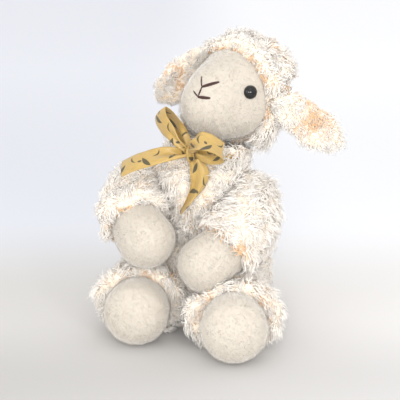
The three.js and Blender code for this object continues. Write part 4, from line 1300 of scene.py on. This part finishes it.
class LAMB_OT_stage(Operator):
    """The pale floor, the backdrop, the soft lights and the camera"""
    bl_idname = "lamb.stage"
    bl_label = "Stage"

    def execute(self, context):
        self.floor(context.scene.lamb_stage)
        self.lights(context.scene)
        self.camera(context.scene)
        return {"FINISHED"}

    def floor(self, colours):
        """A wide floor that turns into the backdrop's colour behind the lamb, with painted light that makes
        it brighter on its left and further back.
        """
        slant, straight = 0.225, 0.974
        form = bmesh.new()
        bmesh.ops.create_grid(form, x_segments=1, y_segments=1, size=6)
        mesh = mesh_from(form, "floor")
        material, tree, shader = shade("Pale Floor")
        x, y, _ = node(tree, "ShaderNodeSeparateXYZ", links={0: object_place(tree)}).outputs
        depth = math_node(tree, "MULTIPLY_ADD", x, -slant, math_node(tree, "MULTIPLY", y, straight))
        across = math_node(tree, "MULTIPLY_ADD", y, slant, math_node(tree, "MULTIPLY", x, straight))
        # Painted light: across the floor its colours turn to their brighter lit-side colours.
        bright = step_ramp(tree, across, -0.16, 0.2)
        near = colour_mix(tree, bright, colours.floor_colour, colours.floor_lit_side)
        back = colour_mix(tree, bright, colours.backdrop_colour, colours.backdrop_lit_side)
        colour = colour_mix(tree, step_ramp(tree, depth, 0.05, 0.28), near, back)
        # Painted light: the colour is scaled 1.24 times brighter from just before the lamb, and 1.42 times
        # far behind it.
        middle = math_node(tree, "MULTIPLY_ADD", step_ramp(tree, depth, -0.13, 0.0), 0.24, 1.0)
        far = math_node(tree, "MULTIPLY_ADD", step_ramp(tree, depth, 0.35, 1.5), 0.18, middle)
        lit = node(tree, "ShaderNodeVectorMath", operation="SCALE", links={0: colour, "Scale": far})
        tree.links.new(lit.outputs[0], shader.inputs["Base Color"])
        set_plain(shader, {"Roughness": 0.7, "Specular IOR Level": 0.1})
        placed("floor", mesh, material)

    def lights(self, scene):
        """A warm white world and six square lamps, of which the two windows glint in the eyes."""
        target = Vector((0, -0.02, 0.11))
        world = bpy.data.worlds.new("Studio")
        scene.world = world
        world.use_nodes = True
        set_plain(world.node_tree.nodes["Background"], {"Strength": 1.0, "Color": (1, 0.985, 0.965, 1)})
        # Where each lamp stands, its power in watts and its width
        lamps = {
            "key": ((0.5, -0.85, 1.15), 1.2, 0.85),
            "window_left": ((0.13, -0.83, 0.28), 1.5, 0.09),
            "window_right": ((0.5, -0.7, 0.28), 1.5, 0.09),
            "fill": ((-0.45, -0.85, 0.3), 1.7, 0.8),
            "front": ((0.2, -0.83, 0.3), 2.1, 0.5),
            "top": ((-0.1, 0.45, 1.3), 1.3, 0.9),
        }
        for name, (at, power, size) in lamps.items():
            lamp = bpy.data.lights.new(name, "AREA")
            lamp.energy = power
            lamp.size = size
            holder = bpy.data.objects.new(name, lamp)
            scene.collection.objects.link(holder)
            holder.location = at
            holder.visible_glossy = name != "front"
            holder.rotation_euler = (target - Vector(at)).to_track_quat("-Z", "Y").to_euler()

    def camera(self, scene):
        above = FRONT_WAY.cross(CAMERA_RIGHT)
        lens = bpy.data.cameras.new("camera")
        lens.sensor_fit = "HORIZONTAL"
        lens.angle = 2 * math.atan(HALF_PICTURE / LENS_REACH)
        holder = bpy.data.objects.new("camera", lens)
        scene.collection.objects.link(holder)
        right_by, above_by, back_by = CAMERA_PLACE
        place = CAMERA_RIGHT * right_by + above * above_by + FRONT_WAY * back_by
        turn = Matrix((CAMERA_RIGHT, above, FRONT_WAY)).transposed().to_4x4()
        holder.matrix_world = Matrix.Translation(place) @ turn
        scene.camera = holder
        scene.view_settings.view_transform = "Standard"


class LAMB_PT_panel(Panel):
    """Lists the lamb's sizes, colours and pieces"""
    bl_idname = "LAMB_PT_panel"
    bl_label = "Plush Lamb"
    bl_space_type = "VIEW_3D"
    bl_region_type = "UI"
    bl_category = "Lamb"

    def draw(self, context):
        for key in SETTINGS:
            box = self.layout.box()
            settings = getattr(context.scene, key)
            for name in settings.bl_rna.properties.keys():
                if name not in ("rna_type", "name"):
                    box.prop(settings, name)
        for operator in OPERATORS:
            self.layout.operator(operator.bl_idname)


SETTINGS = {"lamb_pile": LambPile, "lamb_cloth": LambCloth, "lamb_ribbon": LambRibbon,
            "lamb_stage": LambStage}
OPERATORS = (LAMB_OT_stage, LAMB_OT_torso, LAMB_OT_head, LAMB_OT_ears, LAMB_OT_limbs, LAMB_OT_eyes,
             LAMB_OT_stitching, LAMB_OT_bow)


def register():
    for key, group in SETTINGS.items():
        bpy.utils.register_class(group)
        setattr(bpy.types.Scene, key, PointerProperty(type=group))
    for operator in OPERATORS:
        bpy.utils.register_class(operator)
    bpy.utils.register_class(LAMB_PT_panel)


def unregister():
    bpy.utils.unregister_class(LAMB_PT_panel)
    for operator in reversed(OPERATORS):
        bpy.utils.unregister_class(operator)
    for key, group in SETTINGS.items():
        delattr(bpy.types.Scene, key)
        bpy.utils.unregister_class(group)


def main():
    register()
    for operator in OPERATORS:
        family, action = operator.bl_idname.split(".")
        getattr(getattr(bpy.ops, family), action)()
    bpy.context.view_layer.update()


if __name__ == "__main__":
    main()
